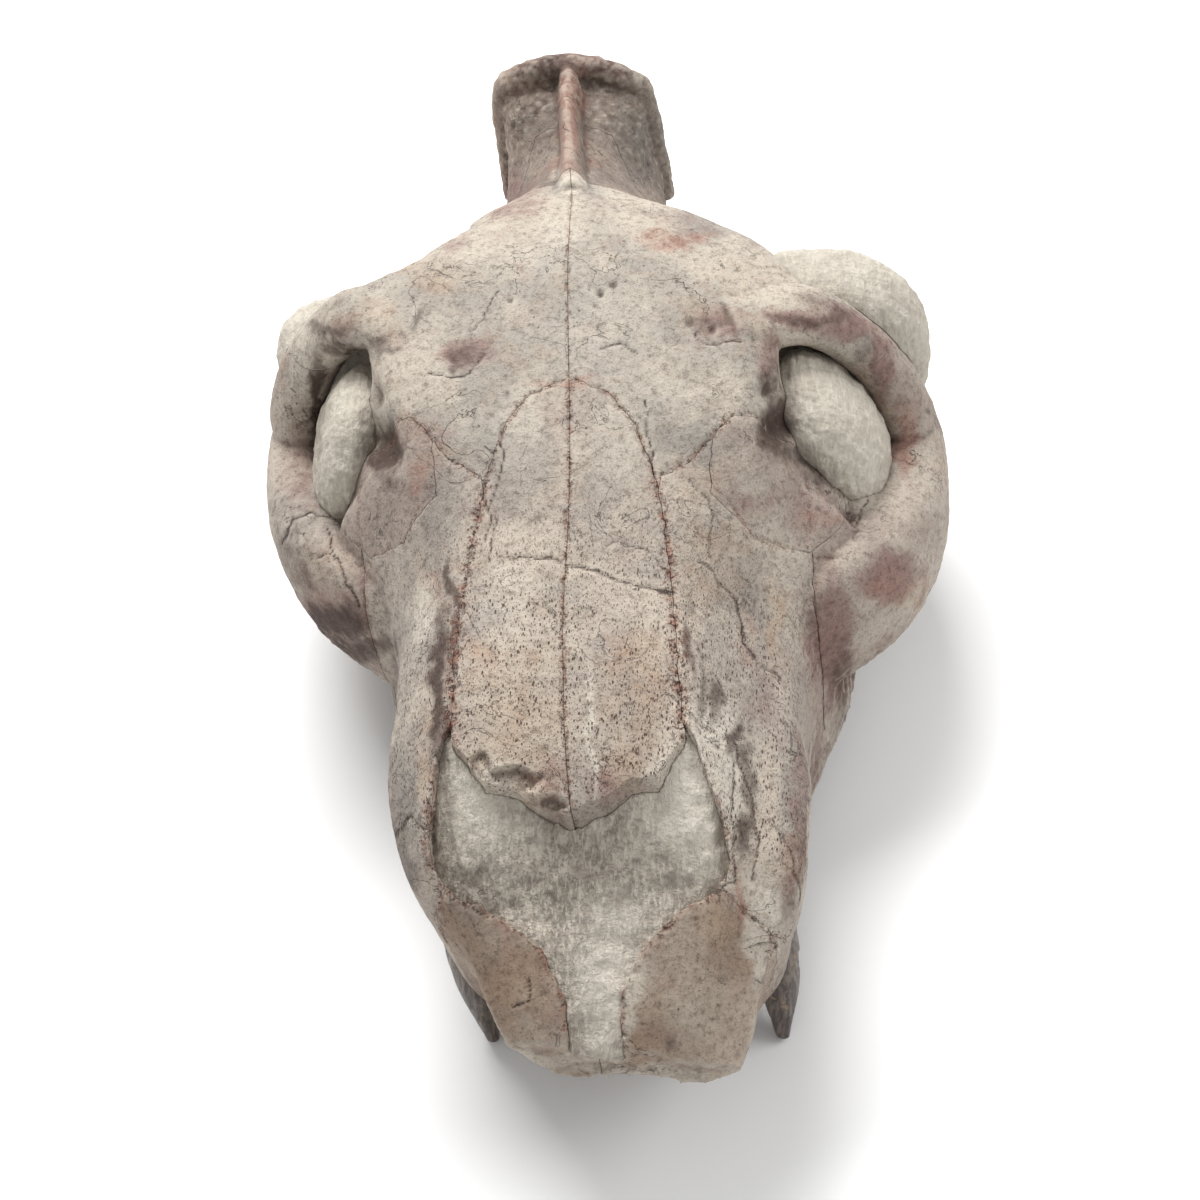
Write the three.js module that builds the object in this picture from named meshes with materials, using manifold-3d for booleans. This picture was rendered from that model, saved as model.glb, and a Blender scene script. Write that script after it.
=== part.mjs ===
// Fossil oreodont skull, the cranium without its lower jaw, at life size in millimetres.
// The snout points to -Y, +X is the animal's left side and +Z is up.
// While the bones are shaped, a point is (x, s, z): x out from the midline, s the distance
// behind the tip of the snout, and z the height above the sockets of the cheek teeth.

import * as THREE from 'three';
import { ParametricGeometry } from 'three/addons/geometries/ParametricGeometry.js';
import { mergeVertices } from 'three/addons/utils/BufferGeometryUtils.js';
import Module from 'manifold-3d';

const wasm = await Module();
wasm.setup();

// Driving sizes
const SKULL_LENGTH = 207;
const MIDDLE_STATION = 105;
const GAP = 0.3;
const TILT_DEGREES = 5.1;

// Sets the skull's footprint over the origin and its lowest points on the floor.
const REST_SHIFT = [-2.24, -2.82, 8.1];

// The rock pressed the skull out of true: higher parts lean to the animal's right, the left
// side lies a little further back than the right side and reaches out a little further.
const LEAN = 0.15;
const LEAN_HEIGHT = 30;
const SLANT = 0.03;
const RIGHT_REACH = 0.955;
const TIP_WIDTH = 20;

// Lengthwise profiles of the cranium, each a list of [distance behind the snout tip, size].
const PROFILE_POINTS = {
  roofMiddle: [[0, 14.5], [4, 18.5], [8, 21.5], [16, 28], [26, 37], [34, 42.5], [50, 48.5],
    [75, 54.5], [100, 62], [118, 67], [138, 70], [152, 69], [164, 66], [176, 62], [190, 60.5],
    [199, 62.5], [207, 65]],
  roofEdgeX: [[0, 11], [6, 14], [16, 18], [30, 19.5], [45, 20], [70, 20], [86, 24], [98, 30],
    [110, 32], [122, 37], [131, 45], [138, 42], [146, 36.5], [153, 30.5], [159, 25.5], [164, 20],
    [170, 14], [177, 10], [187, 9], [198, 13], [207, 16]],
  roofEdgeZ: [[0, 13], [6, 18], [16, 26], [30, 38.5], [50, 45], [75, 50], [98, 57], [112, 62],
    [124, 63], [133, 62], [145, 63.5], [156, 61.5], [168, 56], [190, 55.5], [207, 62.5]],
  wallX: [[0, 18], [6, 21], [12, 23], [17, 25.5], [21, 29.5], [26, 32.5], [34, 34.8], [46, 36.5],
    [58, 35.5], [68, 35.5], [78, 37.5], [88, 43.5], [97, 48.5], [100, 47], [104, 48], [112, 45.5],
    [119, 38], [126, 24], [140, 16], [155, 16.5], [172, 17.5], [190, 17], [207, 16]],
  wallZ: [[0, 9], [16, 17], [30, 24], [50, 28], [75, 31], [94, 34], [112, 38], [130, 43], [160, 42],
    [207, 44]],
  socketX: [[0, 14.5], [6, 18.5], [16, 22.5], [23, 27.5], [30, 30], [44, 32], [58, 34], [68, 37.5],
    [76, 40.5], [86, 44], [95, 45.5], [108, 45.5], [118, 43.5], [126, 37], [133, 20], [144, 12],
    [158, 15], [175, 17], [192, 16], [207, 14]],
  socketZ: [[0, 5], [8, 2], [20, 0], [124, 0], [130, 5], [138, 12], [150, 19], [160, 23], [175, 25],
    [207, 28]],
  palateX: [[0, 8], [10, 12], [24, 16], [45, 20], [60, 20.5], [80, 20], [118, 20], [126, 14],
    [136, 8], [207, 7]],
  palateZ: [[0, 5], [20, 1], [124, 1], [132, 8], [142, 16], [155, 22], [207, 27]],
  vaultZ: [[0, 7.5], [20, 8], [50, 10], [104, 11], [114, 14], [124, 21], [138, 25], [160, 26],
    [207, 30]],
  roofSway: [[0, -1], [8, -0.6], [14, 0], [22, -1], [30, -1.7], [42, -2], [60, -1.9], [86, -0.4], [104, 0],
    [150, 0], [175, -1.2], [195, -2.2], [207, -2.2]],
  footSway: [[0, 3.5], [14, 2.2], [28, 0.7], [42, 0], [150, 0], [175, -1.2], [195, -2.2], [207, -2.2]],
  rightWaist: [[0, 0], [132, 0], [137, 4], [143, 9], [152, 9], [160, 4], [170, 0], [207, 0]],
  rightTip: [[0, 4.5], [22, 0], [207, 0]],
  rockDrop: [[0, 1.2], [12, 2], [21, 4.2], [29, 4.6], [40, 2.4], [58, 1.6]],
};

// Swept bones of the left side: rows of centre [x, s, z], half width and half height.
const ARCH_ROWS = [[[29, 80, 22], 6, 13], [[42, 89, 22.5], 7.5, 14], [[51.5, 98, 23.5], 8, 13.5],
  [[57, 110, 24], 8.5, 11.5], [[61, 124, 25], 6.5, 10.5], [[61, 138, 27], 5.5, 9.5],
  [[57, 151, 28.5], 5, 10.5], [[45, 164, 29.5], 7, 10], [[30, 173, 29], 8, 8.5], [[12, 177, 31], 9, 9]];
const POSTORBITAL_BAR_ROWS = [[[28, 125, 63], 4, 9], [[42, 130, 60.5], 4.5, 7],
  [[50.5, 132, 53.5], 4.8, 6.5], [[56.5, 132.5, 45], 5.2, 7], [[60, 131, 36], 5.5, 8],
  [[62, 131, 28], 3.5, 6]];
const PAROCCIPITAL_ROWS = [[[17, 186, 30], 7, 6], [[20, 189, 22], 5, 5], [[21, 190.5, 11], 3.5, 4.5],
  [[20.5, 189.5, 0.4], 1.8, 2.4]];
const PTERYGOID_ROWS = [[[11, 119, 13], 2, 7], [[9.5, 128, 12], 1.8, 8], [[8.5, 138, 16], 1.8, 7],
  [[8, 150, 22], 2, 5]];
const CANINE_ROWS = [[[25.5, 34, 9], 5, 6.5], [[26.5, 31.5, 4], 4.8, 6], [[26.8, 27, -5], 3.6, 4.6],
  [[26, 22.5, -14.7], 1.2, 1.5]];

// Ridges that cross or follow the midline
const SAGITTAL_CREST_ROWS = [[[0, 161, 63], 3.2, 4.5], [[0, 170, 60], 2.4, 7.5],
  [[0, 181, 58.5], 1.8, 8.5], [[0, 193, 58.5], 1.8, 9], [[0, 205, 59.5], 2.2, 8]];
const NUCHAL_ARC = { halfWidth: 16, foot: 37, top: 66.5, front: 202, back: 206.5, radius: 2.6 };

// Cheek teeth from front to back: centre [x, s], length, width.
const CHEEK_TEETH = [[[26, 41.5], 8, 5.5], [[27, 51], 10, 7], [[28.2, 61.5], 10.5, 9],
  [[29.2, 71.5], 9.5, 12], [[30.5, 83], 13.5, 15], [[32.3, 98], 16.5, 17], [[33.2, 116], 19.5, 18]];
const CROWN_HEIGHT = 6.2;
const CROWN_ROOT = 6;

// Rock left in the eye sockets and behind them: centre [x, s, z], radii, and the turn about
// s in degrees that faces a flattened one outwards.
const ORBIT_ROCK = {
  left: [[46, 119, 43], [8, 16.5, 15], 35],
  right: [[46.5, 116.5, 42], [6.5, 16.5, 14], 25],
};
const TEMPORAL_ROCK = {
  left: [[46, 145, 42], [21, 14, 19], 0],
  right: [[47, 140.5, 40], [16, 11, 15], 0],
};

// Outlines of the bones seen from above, for the left side, as [x, s] round each bone.
const MID = GAP / 2;
const NASAL_OUTLINE = [[MID, 29], [5, 30.5], [9, 33], [14, 34], [19, 41], [18.3, 60], [16.9, 76],
  [14.8, 88], [11.5, 98], [7.5, 104], [MID, 107.5]];
const FRONTAL_OUTLINE = [[MID, 80], [13, 80], [15.5, 89], [21, 93], [28, 102], [40, 106], [48, 116],
  [62, 124], [62, 143], [45, 146], [33, 151], [22, 158], [10, 164], [MID, 167]];
const LACRIMAL_OUTLINE = [[24, 88], [31, 85], [39, 88], [52, 92], [52, 108], [30, 108], [24.5, 97]];
const NOSE_OPENING = [[MID, -9], [4.2, -9], [4.5, 7], [8, 13], [14, 17], [21, 20.5], [24, 25],
  [24, 31], [20.5, 42], [16, 47], [MID, 50]];
const PREMAXILLA_OUTLINE = [[MID, -9], [40, -9], [40, 13], [27, 19.5], [21, 22], [MID, 22]];
const MAXILLA_OUTLINE = [[MID, -9], [60, -9], [60, 103], [45, 103], [45, 128], [20, 131], [12, 121],
  [MID, 121]];
const JUGAL_OUTLINE = [[40.5, 70], [75, 70], [75, 139], [50, 143], [46, 130], [46, 110], [40.5, 104]];
const SQUAMOSAL_OUTLINE = [[50, 142], [75, 138], [75, 182], [19, 182], [19, 160], [30, 150]];
const OCCIPITAL_OUTLINE = [[-40, 183.5], [-12, 183.5], [-8, 193], [8, 193], [12, 183.5], [40, 183.5],
  [40, 230], [-40, 230]];

// Colours of the fossil bone and the rock
const BONE = { color: 0xb9a799, roughness: 0.75 };
const PINK_BONE = { color: 0xa98c80, roughness: 0.75 };
const TAN_BONE = { color: 0xb39a80, roughness: 0.78 };
const ENAMEL = { color: 0x4a4038, roughness: 0.42 };
const ROCK = { color: 0xc4bcae, roughness: 0.92 };

// A smooth curve through [position, value] pairs that never overshoots them.
function profile(points) {
  const slope = (a, b) => (b[1] - a[1]) / (b[0] - a[0]);
  const slopes = points.slice(1).map((point, i) => slope(points[i], point));
  const tangents = points.map((point, i) => {
    if (i === 0) return slopes[0];
    if (i === points.length - 1) return slopes[i - 1];
    if (slopes[i - 1] * slopes[i] <= 0) return 0;
    const before = point[0] - points[i - 1][0];
    const after = points[i + 1][0] - point[0];
    const a = 2 * after + before;
    const b = after + 2 * before;
    return (a + b) / (a / slopes[i - 1] + b / slopes[i]);
  });
  return (position) => {
    const p = Math.min(Math.max(position, points[0][0]), points[points.length - 1][0]);
    let i = points.findIndex((point) => point[0] > p) - 1;
    if (i < 0) i = points.length - 2;
    const width = points[i + 1][0] - points[i][0];
    const t = (p - points[i][0]) / width;
    return points[i][1] * (1 + 2 * t) * (1 - t) ** 2 + tangents[i] * width * t * (1 - t) ** 2
      + points[i + 1][1] * t * t * (3 - 2 * t) + tangents[i + 1] * width * t * t * (t - 1);
  };
}

const at = {};
for (const [name, points] of Object.entries(PROFILE_POINTS)) at[name] = profile(points);

// A closed surface through rings of points, with each end drawn in to its middle.
function loft(rings) {
  const total = (ring) => ring.reduce((sum, p) => sum.add(p), new THREE.Vector3());
  const middle = (ring) => total(ring).divideScalar(ring.length);
  const close = (ring) => ring.map(() => middle(ring));
  const all = [close(rings[0]), ...rings, close(rings[rings.length - 1])];
  const around = rings[0].length;
  const along = all.length - 1;
  const pick = (u, v, target) => {
    target.copy(all[Math.round(v * along)][Math.round(u * around) % around]);
  };
  return new ParametricGeometry(pick, around, along);
}

// Turns a closed three.js geometry into a solid with its faces pointing out.
function solid(geometry) {
  const bare = geometry.clone();
  bare.deleteAttribute('normal');
  bare.deleteAttribute('uv');
  const merged = mergeVertices(bare, 1e-4);
  const position = merged.attributes.position;
  const corner = (i) => new THREE.Vector3().fromBufferAttribute(position, i);
  const triangles = [];
  let volume = 0;
  for (let i = 0; i < merged.index.count; i += 3) {
    const [a, b, c] = [0, 1, 2].map((k) => merged.index.getX(i + k));
    if (a === b || b === c || c === a) continue;
    triangles.push([a, b, c]);
    volume += corner(a).dot(corner(b).cross(corner(c)));
  }
  if (volume < 0) triangles.forEach((triangle) => triangle.reverse());
  return new wasm.Manifold(new wasm.Mesh({
    numProp: 3,
    vertProperties: new Float32Array(position.array),
    triVerts: new Uint32Array(triangles.flat()),
  }));
}

// The main piece of a solid: scraps and sealed hollows that a cut leaves are dropped.
function mainPiece(shape) {
  return shape.decompose().sort((a, b) => b.volume() - a.volume())[0];
}

const unite = (shapes) => shapes.reduce((sum, shape) => sum.add(shape));

// How far sideways a point of the lower skull lies: the right side is pressed in, and the
// midline wanders.
const aside = (x, s, side) => x * (side > 0 ? 1 : -RIGHT_REACH) + at.footSway(s);

// One side's half of a cross-section of the cranium, from the roof's midline to the palate's.
function halfSection(s, side, grow) {
  const waist = side > 0 ? 0 : at.rightWaist(s);
  const roofX = at.roofEdgeX(s) - waist + grow;
  const roofZ = at.roofEdgeZ(s) + grow;
  const top = at.roofMiddle(s) + grow;
  const wallX = at.wallX(s) + grow;
  const wallZ = at.wallZ(s);
  const socketX = at.socketX(s) + grow;
  const socketZ = at.socketZ(s) - grow;
  const roof = [
    [0, top],
    [roofX * 0.5, top + (roofZ - top) * 0.2],
    [roofX, roofZ],
    [roofX * 0.45 + wallX * 0.55, (roofZ + wallZ) / 2],
  ];
  const lower = [
    [wallX, wallZ],
    [socketX * 0.7 + wallX * 0.3, socketZ * 0.65 + wallZ * 0.35],
    [socketX, socketZ + 1.5],
    [socketX - 2.5, socketZ],
    [at.palateX(s), at.palateZ(s) - grow],
    [at.palateX(s) * 0.7, at.vaultZ(s) - 1 - grow],
    [0, at.vaultZ(s) - grow],
  ];
  return [
    ...roof.map(([x, z]) => [x * side + at.roofSway(s), z]),
    ...lower.map(([x, z]) => [aside(x, s, side), z]),
  ];
}

const SECTION_STEPS = 17;
const STATION_STEP = 5.7;
const OUTLINE_STEP = 20;
const EXTRA_STATIONS = [1.2, 98.6, 102.4, 103.6, 206.2];

// The whole cranium. On the right the tip of the snout is broken off further back.
function cranium(grow, lower = () => 0) {
  const stations = [...EXTRA_STATIONS];
  const count = Math.round(SKULL_LENGTH / STATION_STEP);
  for (let i = 0; i <= count; i += 1) stations.push((SKULL_LENGTH * i) / count);
  stations.sort((a, b) => a - b);
  const rings = stations.map((s) => {
    const [left, right] = [1, -1].map((side) => {
      const keys = halfSection(s, side, grow).map(([x, z]) => new THREE.Vector3(x, s, z - lower(s)));
      const curve = new THREE.CatmullRomCurve3(keys, false, 'catmullrom', 0.5);
      return curve.getPoints(SECTION_STEPS);
    });
    for (const p of right) p.y += at.rightTip(s) * THREE.MathUtils.clamp(-p.x / TIP_WIDTH, 0, 1);
    return [...left, ...right.slice(1, -1).reverse()];
  });
  return solid(loft(rings));
}

const Z_UP = new THREE.Vector3(0, 0, 1);
const S_UP = new THREE.Vector3(0, 1, 0);

// A bone swept along rows of [centre, half width, half height]. The half height lies along
// the up direction, the half width across it, and power under 1 squares the section.
function sweep(rows, side, { steps = 18, sides = 12, up = Z_UP, power = 1, grow = 0 } = {}) {
  const path = new THREE.CatmullRomCurve3(
    rows.map(([[x, s, z]]) => new THREE.Vector3(x, s, z)), false, 'catmullrom', 0.5);
  const sizes = new THREE.CatmullRomCurve3(
    rows.map(([, width, height]) => new THREE.Vector3(width, height, 0)), false, 'catmullrom', 0.5);
  const bend = (value) => Math.sign(value) * Math.abs(value) ** power;
  const rings = [];
  for (let i = 0; i <= steps; i += 1) {
    const centre = path.getPoint(i / steps);
    const ahead = path.getPoint(Math.min(1, (i + 0.5) / steps));
    const forward = ahead.sub(path.getPoint(Math.max(0, (i - 0.5) / steps)));
    const across = forward.normalize().clone().cross(up).normalize();
    const rise = across.clone().cross(forward);
    const size = sizes.getPoint(i / steps);
    rings.push(Array.from({ length: sides }, (_, k) => {
      const angle = (2 * Math.PI * k) / sides;
      const p = centre.clone()
        .addScaledVector(across, (size.x + grow) * bend(Math.cos(angle)))
        .addScaledVector(rise, (size.y + grow) * bend(Math.sin(angle)));
      p.x = aside(p.x, p.y, side);
      return p;
    }));
  }
  return solid(loft(rings));
}

function blob([x, s, z], [rx, rs, rz], turn, side, grow = 0) {
  const ball = new THREE.SphereGeometry(1, 14, 8);
  ball.scale(rx + grow, rs + grow, rz + grow);
  ball.rotateY(-THREE.MathUtils.degToRad(turn) * side);
  ball.translate(aside(x, s, side), s, z);
  return solid(ball);
}

// The crest over the back of the head: an arc from one side up over the midline.
function nuchalCrest(grow) {
  const rows = [];
  const { halfWidth, foot, top, front, back, radius } = NUCHAL_ARC;
  for (let i = 0; i <= 8; i += 1) {
    const angle = Math.PI * (i / 8 - 0.5);
    const rise = Math.cos(angle) ** 0.3;
    const centre = [
      halfWidth * Math.sin(angle), front + (back - front) * rise, foot + (top - foot) * rise];
    rows.push([centre, radius, radius]);
  }
  return sweep(rows, 1, { steps: 24, sides: 8, up: S_UP, grow });
}

// A cheek tooth: a squared crown that narrows towards its worn face, with an
// outline that swells between its cusps.
function cheekTooth([[centre, station], length, width], side) {
  const levels = [[CROWN_ROOT, 0.9], [0.5, 0.97], [-CROWN_HEIGHT * 0.5, 1],
    [-CROWN_HEIGHT * 0.85, 0.9], [-CROWN_HEIGHT, 0.7]];
  const squared = (value) => Math.sign(value) * Math.abs(value) ** 0.7;
  return solid(loft(levels.map(([z, scale]) => Array.from({ length: 12 }, (_, k) => {
    const angle = (2 * Math.PI * (k + 0.5)) / 12;
    const x = centre + (width / 2) * scale * squared(Math.cos(angle));
    const s = station + (length / 2) * scale * squared(Math.sin(angle));
    return new THREE.Vector3(aside(x, s, side), s, z);
  }))));
}

// A canine, or its socket when grown, which also reaches further up.
function canine(side, grow) {
  const [[[x, s, z], ...root], ...rows] = CANINE_ROWS;
  return sweep([[[x, s, z + grow], ...root], ...rows], side, { steps: 8, sides: 10, grow });
}

// Moves an outline's sides out by a distance, keeping its corners sharp.
function widen(outline, distance) {
  const points = outline.map(([x, s]) => new THREE.Vector2(x, s));
  const turn = Math.sign(THREE.ShapeUtils.area(points));
  const across = (a, b) => new THREE.Vector2(b.y - a.y, a.x - b.x);
  const normal = (a, b) => across(a, b).normalize().multiplyScalar(turn);
  return points.map((point, i) => {
    const before = normal(points.at(i - 1), point);
    const after = normal(point, points[(i + 1) % points.length]);
    const both = before.clone().add(after).normalize();
    const reach = distance / Math.max(both.dot(after), 0.35);
    return point.clone().addScaledVector(both, reach);
  });
}

// An outline with its long sides split, so that it can follow a wandering midline.
function stepped(points) {
  return points.flatMap((point, i) => {
    const next = points[(i + 1) % points.length];
    const count = Math.max(1, Math.round(point.distanceTo(next) / OUTLINE_STEP));
    return Array.from({ length: count }, (_, k) => point.clone().lerp(next, k / count));
  });
}

// A block with a bone's outline in plan, from a lower face that may slope with s to an upper one.
function block(outline, side, { low = -40, high = 100, slope = 0, from = 0, grow = 0 } = {}) {
  const place = (p) => new THREE.Vector2(p.x * side + at.roofSway(p.y), p.y);
  const plan = stepped(widen(outline, grow)).map(place);
  const depth = high - low + 2 * grow;
  const shape = new THREE.ExtrudeGeometry(new THREE.Shape(plan), { depth, bevelEnabled: false });
  shape.translate(0, 0, low - grow);
  shape.applyMatrix4(new THREE.Matrix4().makeShear(0, 0, 0, slope, 0, 0));
  shape.translate(0, 0, -slope * from);
  return solid(shape);
}

// Everything made of bone, larger all over by a given amount.
function wholeSkull(grow) {
  const crest = sweep(SAGITTAL_CREST_ROWS, 1, { steps: 12, sides: 8, grow });
  const shapes = [cranium(grow), nuchalCrest(grow), crest];
  for (const side of [1, -1]) {
    shapes.push(sweep(ARCH_ROWS, side, { steps: 26, sides: 14, power: 0.8, grow }));
    shapes.push(sweep(POSTORBITAL_BAR_ROWS, side, { steps: 12, sides: 10, up: S_UP, grow }));
    shapes.push(sweep(PAROCCIPITAL_ROWS, side, { steps: 8, sides: 8, up: S_UP, grow }));
    shapes.push(sweep(PTERYGOID_ROWS, side, { steps: 8, sides: 8, grow }));
    shapes.push(blob([9, 206, 31], [7, 6, 7], 0, side, grow));
    shapes.push(blob([13, 176, 24], [6, 8, 6], 0, side, grow));
    shapes.push(blob([29, 168, 23], [8, 4, 8], 0, side, grow));
  }
  return unite(shapes);
}

const sides = { left: 1, right: -1 };
const nodes = [];
const addNode = (name, shape, finish) => nodes.push({ name, shape: mainPiece(shape), finish });

// The bone with a gap all round it, also below the brims of the eye sockets.
const inflated = unite([wholeSkull(GAP), cranium(0, () => GAP)]);
const canineSockets = unite([canine(1, GAP), canine(-1, GAP)]);
let bone = wholeSkull(0);
for (const side of [1, -1]) {
  bone = unite([bone, ...CHEEK_TEETH.map((tooth) => cheekTooth(tooth, side))]);
}
bone = bone.subtract(canineSockets);

// Cuts one named bone out of what is left of the skull, with a thin suture round it.
function part(name, outline, side, finish, range = {}) {
  addNode(name, bone.intersect(block(outline, side, range)), finish);
  bone = bone.subtract(block(outline, side, { ...range, grow: GAP }));
}

const NASAL_RANGE = { low: 31, slope: 0.24, from: 29 };
const FRONTAL_RANGE = { low: 44, slope: 0.2, from: 88 };
const JUGAL_FOOT = 7.5;
for (const [name, side] of Object.entries(sides)) {
  part(`nasal_${name}`, NASAL_OUTLINE, side, BONE, NASAL_RANGE);
  part(`frontal_${name}`, FRONTAL_OUTLINE, side, BONE, FRONTAL_RANGE);
}

// The rock that fills the nose, hollowed in front of the broken nasal bones.
const opening = (grow) => unite([1, -1].map((side) => block(
  NOSE_OPENING.map(([x, s]) => [x === MID ? -1 : x, s]), side, { low: 12, grow })));
const nasalsGrown = unite([1, -1].map((side) => block(
  NASAL_OUTLINE.map(([x, s]) => [x === MID ? -1 : x, s]), side, { ...NASAL_RANGE, grow: GAP })));
const nasalRock = cranium(0, at.rockDrop).intersect(opening(-GAP)).subtract(nasalsGrown);
addNode('nasal_rock', nasalRock.subtract(canineSockets), ROCK);
bone = bone.subtract(opening(0));

for (const [name, side] of Object.entries(sides)) {
  part(`premaxilla_${name}`, PREMAXILLA_OUTLINE, side, TAN_BONE);
  part(`lacrimal_${name}`, LACRIMAL_OUTLINE, side, PINK_BONE, { low: 39 });
  part(`jugal_${name}`, JUGAL_OUTLINE, side, PINK_BONE, { low: JUGAL_FOOT });
  part(`maxilla_${name}`, MAXILLA_OUTLINE, side, BONE);
  part(`squamosal_${name}`, SQUAMOSAL_OUTLINE, side, PINK_BONE);
  addNode(`canine_${name}`, canine(side, 0), ENAMEL);
  addNode(`temporal_rock_${name}`, blob(...TEMPORAL_ROCK[name], side).subtract(inflated), ROCK);
  const behind = blob(...TEMPORAL_ROCK[name], side, GAP);
  addNode(`orbit_rock_${name}`, blob(...ORBIT_ROCK[name], side).subtract(inflated).subtract(behind), ROCK);
}
part('occipital', OCCIPITAL_OUTLINE, 1, TAN_BONE);
addNode('braincase', bone, PINK_BONE);

// The pressing of the rock is a shear, kept in each bone's own shape.
const pressed = new THREE.Matrix4().makeTranslation(LEAN * LEAN_HEIGHT, -MIDDLE_STATION, 0)
  .multiply(new THREE.Matrix4().makeShear(SLANT, 0, 0, 0, -LEAN, 0));

const skull = new THREE.Group();
skull.name = 'oreodont_skull';
skull.rotation.x = -THREE.MathUtils.degToRad(TILT_DEGREES);
skull.position.set(...REST_SHIFT);
for (const { name, shape, finish } of nodes) {
  const mesh = shape.getMesh();
  const geometry = new THREE.BufferGeometry();
  const corners = new THREE.BufferAttribute(new Float32Array(mesh.vertProperties), 3);
  geometry.setAttribute('position', corners);
  geometry.setIndex(new THREE.BufferAttribute(new Uint32Array(mesh.triVerts), 1));
  geometry.applyMatrix4(pressed);
  geometry.computeVertexNormals();
  const material = new THREE.MeshStandardMaterial({ ...finish, metalness: 0 });
  const piece = new THREE.Mesh(geometry, material);
  piece.name = name;
  skull.add(piece);
}

export default skull;
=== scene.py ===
# %% [markdown]
# A fossil oreodont skull in Blender. The real thing is bone turned to stone, cracked along its
# sutures, with pale rock left in the nose and the eye sockets. The imported model is loaded first:
# its solids fix where every bone lies, and the finer bones made here take their place.

# %% Load the imported model
import bpy
import math
import time
from functools import partial
import numpy as np
from mathutils import Matrix, Vector
from mathutils.geometry import tessellate_polygon


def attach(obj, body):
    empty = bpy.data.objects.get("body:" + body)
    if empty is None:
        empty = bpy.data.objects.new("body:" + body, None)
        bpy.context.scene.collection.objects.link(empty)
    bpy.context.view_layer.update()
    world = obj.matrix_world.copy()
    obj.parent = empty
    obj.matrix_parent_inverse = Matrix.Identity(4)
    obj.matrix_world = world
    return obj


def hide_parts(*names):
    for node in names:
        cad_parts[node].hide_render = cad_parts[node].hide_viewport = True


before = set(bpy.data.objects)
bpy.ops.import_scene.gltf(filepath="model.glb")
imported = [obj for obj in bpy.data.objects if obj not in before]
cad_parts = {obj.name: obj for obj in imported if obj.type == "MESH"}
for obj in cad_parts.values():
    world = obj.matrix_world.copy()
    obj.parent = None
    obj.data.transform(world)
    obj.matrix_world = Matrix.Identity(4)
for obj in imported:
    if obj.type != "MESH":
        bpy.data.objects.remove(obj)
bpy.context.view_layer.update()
START = time.time()

# %% [markdown]
# The shapes are worked out in the skull's own measures, in millimetres: x out from the midline to
# the animal's left, s the distance behind the tip of the snout, z the height above the sockets of
# the cheek teeth. The last step turns them into metres in the frame, with the lean that the
# pressing of the rock gave the skull.

# %% The skull's own measures and the way it lies
MM = 0.001
SKULL_LENGTH = 207.0
MIDDLE_STATION = 105.0
TILT = math.radians(5.1)
LEAN = 0.15
LEAN_HEIGHT = 30.0
SLANT = 0.03
RIGHT_REACH = 0.955
TIP_WIDTH = 20.0
REST_SHIFT = np.array([-2.24, -2.82, 8.1])


def to_frame(points):
    """Skull measures to metres in the frame: two shears for the pressed shape, then the snout
    is raised by the tilt about the sideways axis and the whole is moved onto the floor."""
    x, s, z = points[:, 0], points[:, 1], points[:, 2]
    px = x - LEAN * (z - LEAN_HEIGHT)
    py = s - MIDDLE_STATION + SLANT * x
    y = py * math.cos(TILT) + z * math.sin(TILT)
    up = -py * math.sin(TILT) + z * math.cos(TILT)
    return (np.stack([px, y, up], 1) + REST_SHIFT) * MM


# %% [markdown]
# A profile gives one size of the skull at every station along it. It runs smoothly through a few
# measured places and never overshoots them, so that a rim stays where it was measured. A path
# through rows of numbers is a Catmull-Rom curve: each stretch leans on the points at both sides.

# %% Smooth profiles and paths
def profile(points):
    """Monotone cubic through [position, size] pairs: slopes are the weighted harmonic mean of
    the neighbouring slopes, and zero where the profile turns."""
    p = np.array(points, float)
    width = np.diff(p[:, 0])
    slope = np.diff(p[:, 1]) / width
    tangent = np.zeros(len(p))
    tangent[0], tangent[-1] = slope[0], slope[-1]
    same = slope[:-1] * slope[1:] > 0
    a = 2 * width[1:] + width[:-1]
    b = width[1:] + 2 * width[:-1]
    safe = np.where(slope == 0, 1.0, slope)
    blend = a / safe[:-1] + b / safe[1:]
    tangent[1:-1] = np.where(same, (a + b) / np.where(blend == 0, 1.0, blend), 0.0)

    def value(position):
        s = np.clip(np.asarray(position, float), p[0, 0], p[-1, 0])
        i = np.clip(np.searchsorted(p[:, 0], s, side="right") - 1, 0, len(width) - 1)
        t = (s - p[i, 0]) / width[i]
        return (p[i, 1] * (1 + 2 * t) * (1 - t) ** 2 + tangent[i] * width[i] * t * (1 - t) ** 2
                + p[i + 1, 1] * t * t * (3 - 2 * t) + tangent[i + 1] * width[i] * t * t * (t - 1))

    return value


def through(rows, count):
    """Catmull-Rom through rows of numbers, at count even steps, the end rows mirrored outwards."""
    rows = np.asarray(rows, float)
    first, last = 2 * rows[:1] - rows[1:2], 2 * rows[-1:] - rows[-2:-1]
    padded = np.concatenate([first, rows, last])
    u = np.linspace(0, len(rows) - 1, count)
    i = np.minimum(u.astype(int), len(rows) - 2)
    t = (u - i).reshape((-1,) + (1,) * (rows.ndim - 1))
    p0, p1, p2, p3 = padded[i], padded[i + 1], padded[i + 2], padded[i + 3]
    return 0.5 * (2 * p1 + (p2 - p0) * t + (2 * p0 - 5 * p1 + 4 * p2 - p3) * t * t
                  + (3 * p1 - p0 - 3 * p2 + p3) * t ** 3)


# %% [markdown]
# The cranium is one long tube whose cross-section changes from the blunt snout to the narrow back
# of the head. Eleven key points give each half section, and each key follows its own profile:
# the roof, the edge of the roof, the side wall, the edge of the tooth sockets and the palate.

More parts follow.
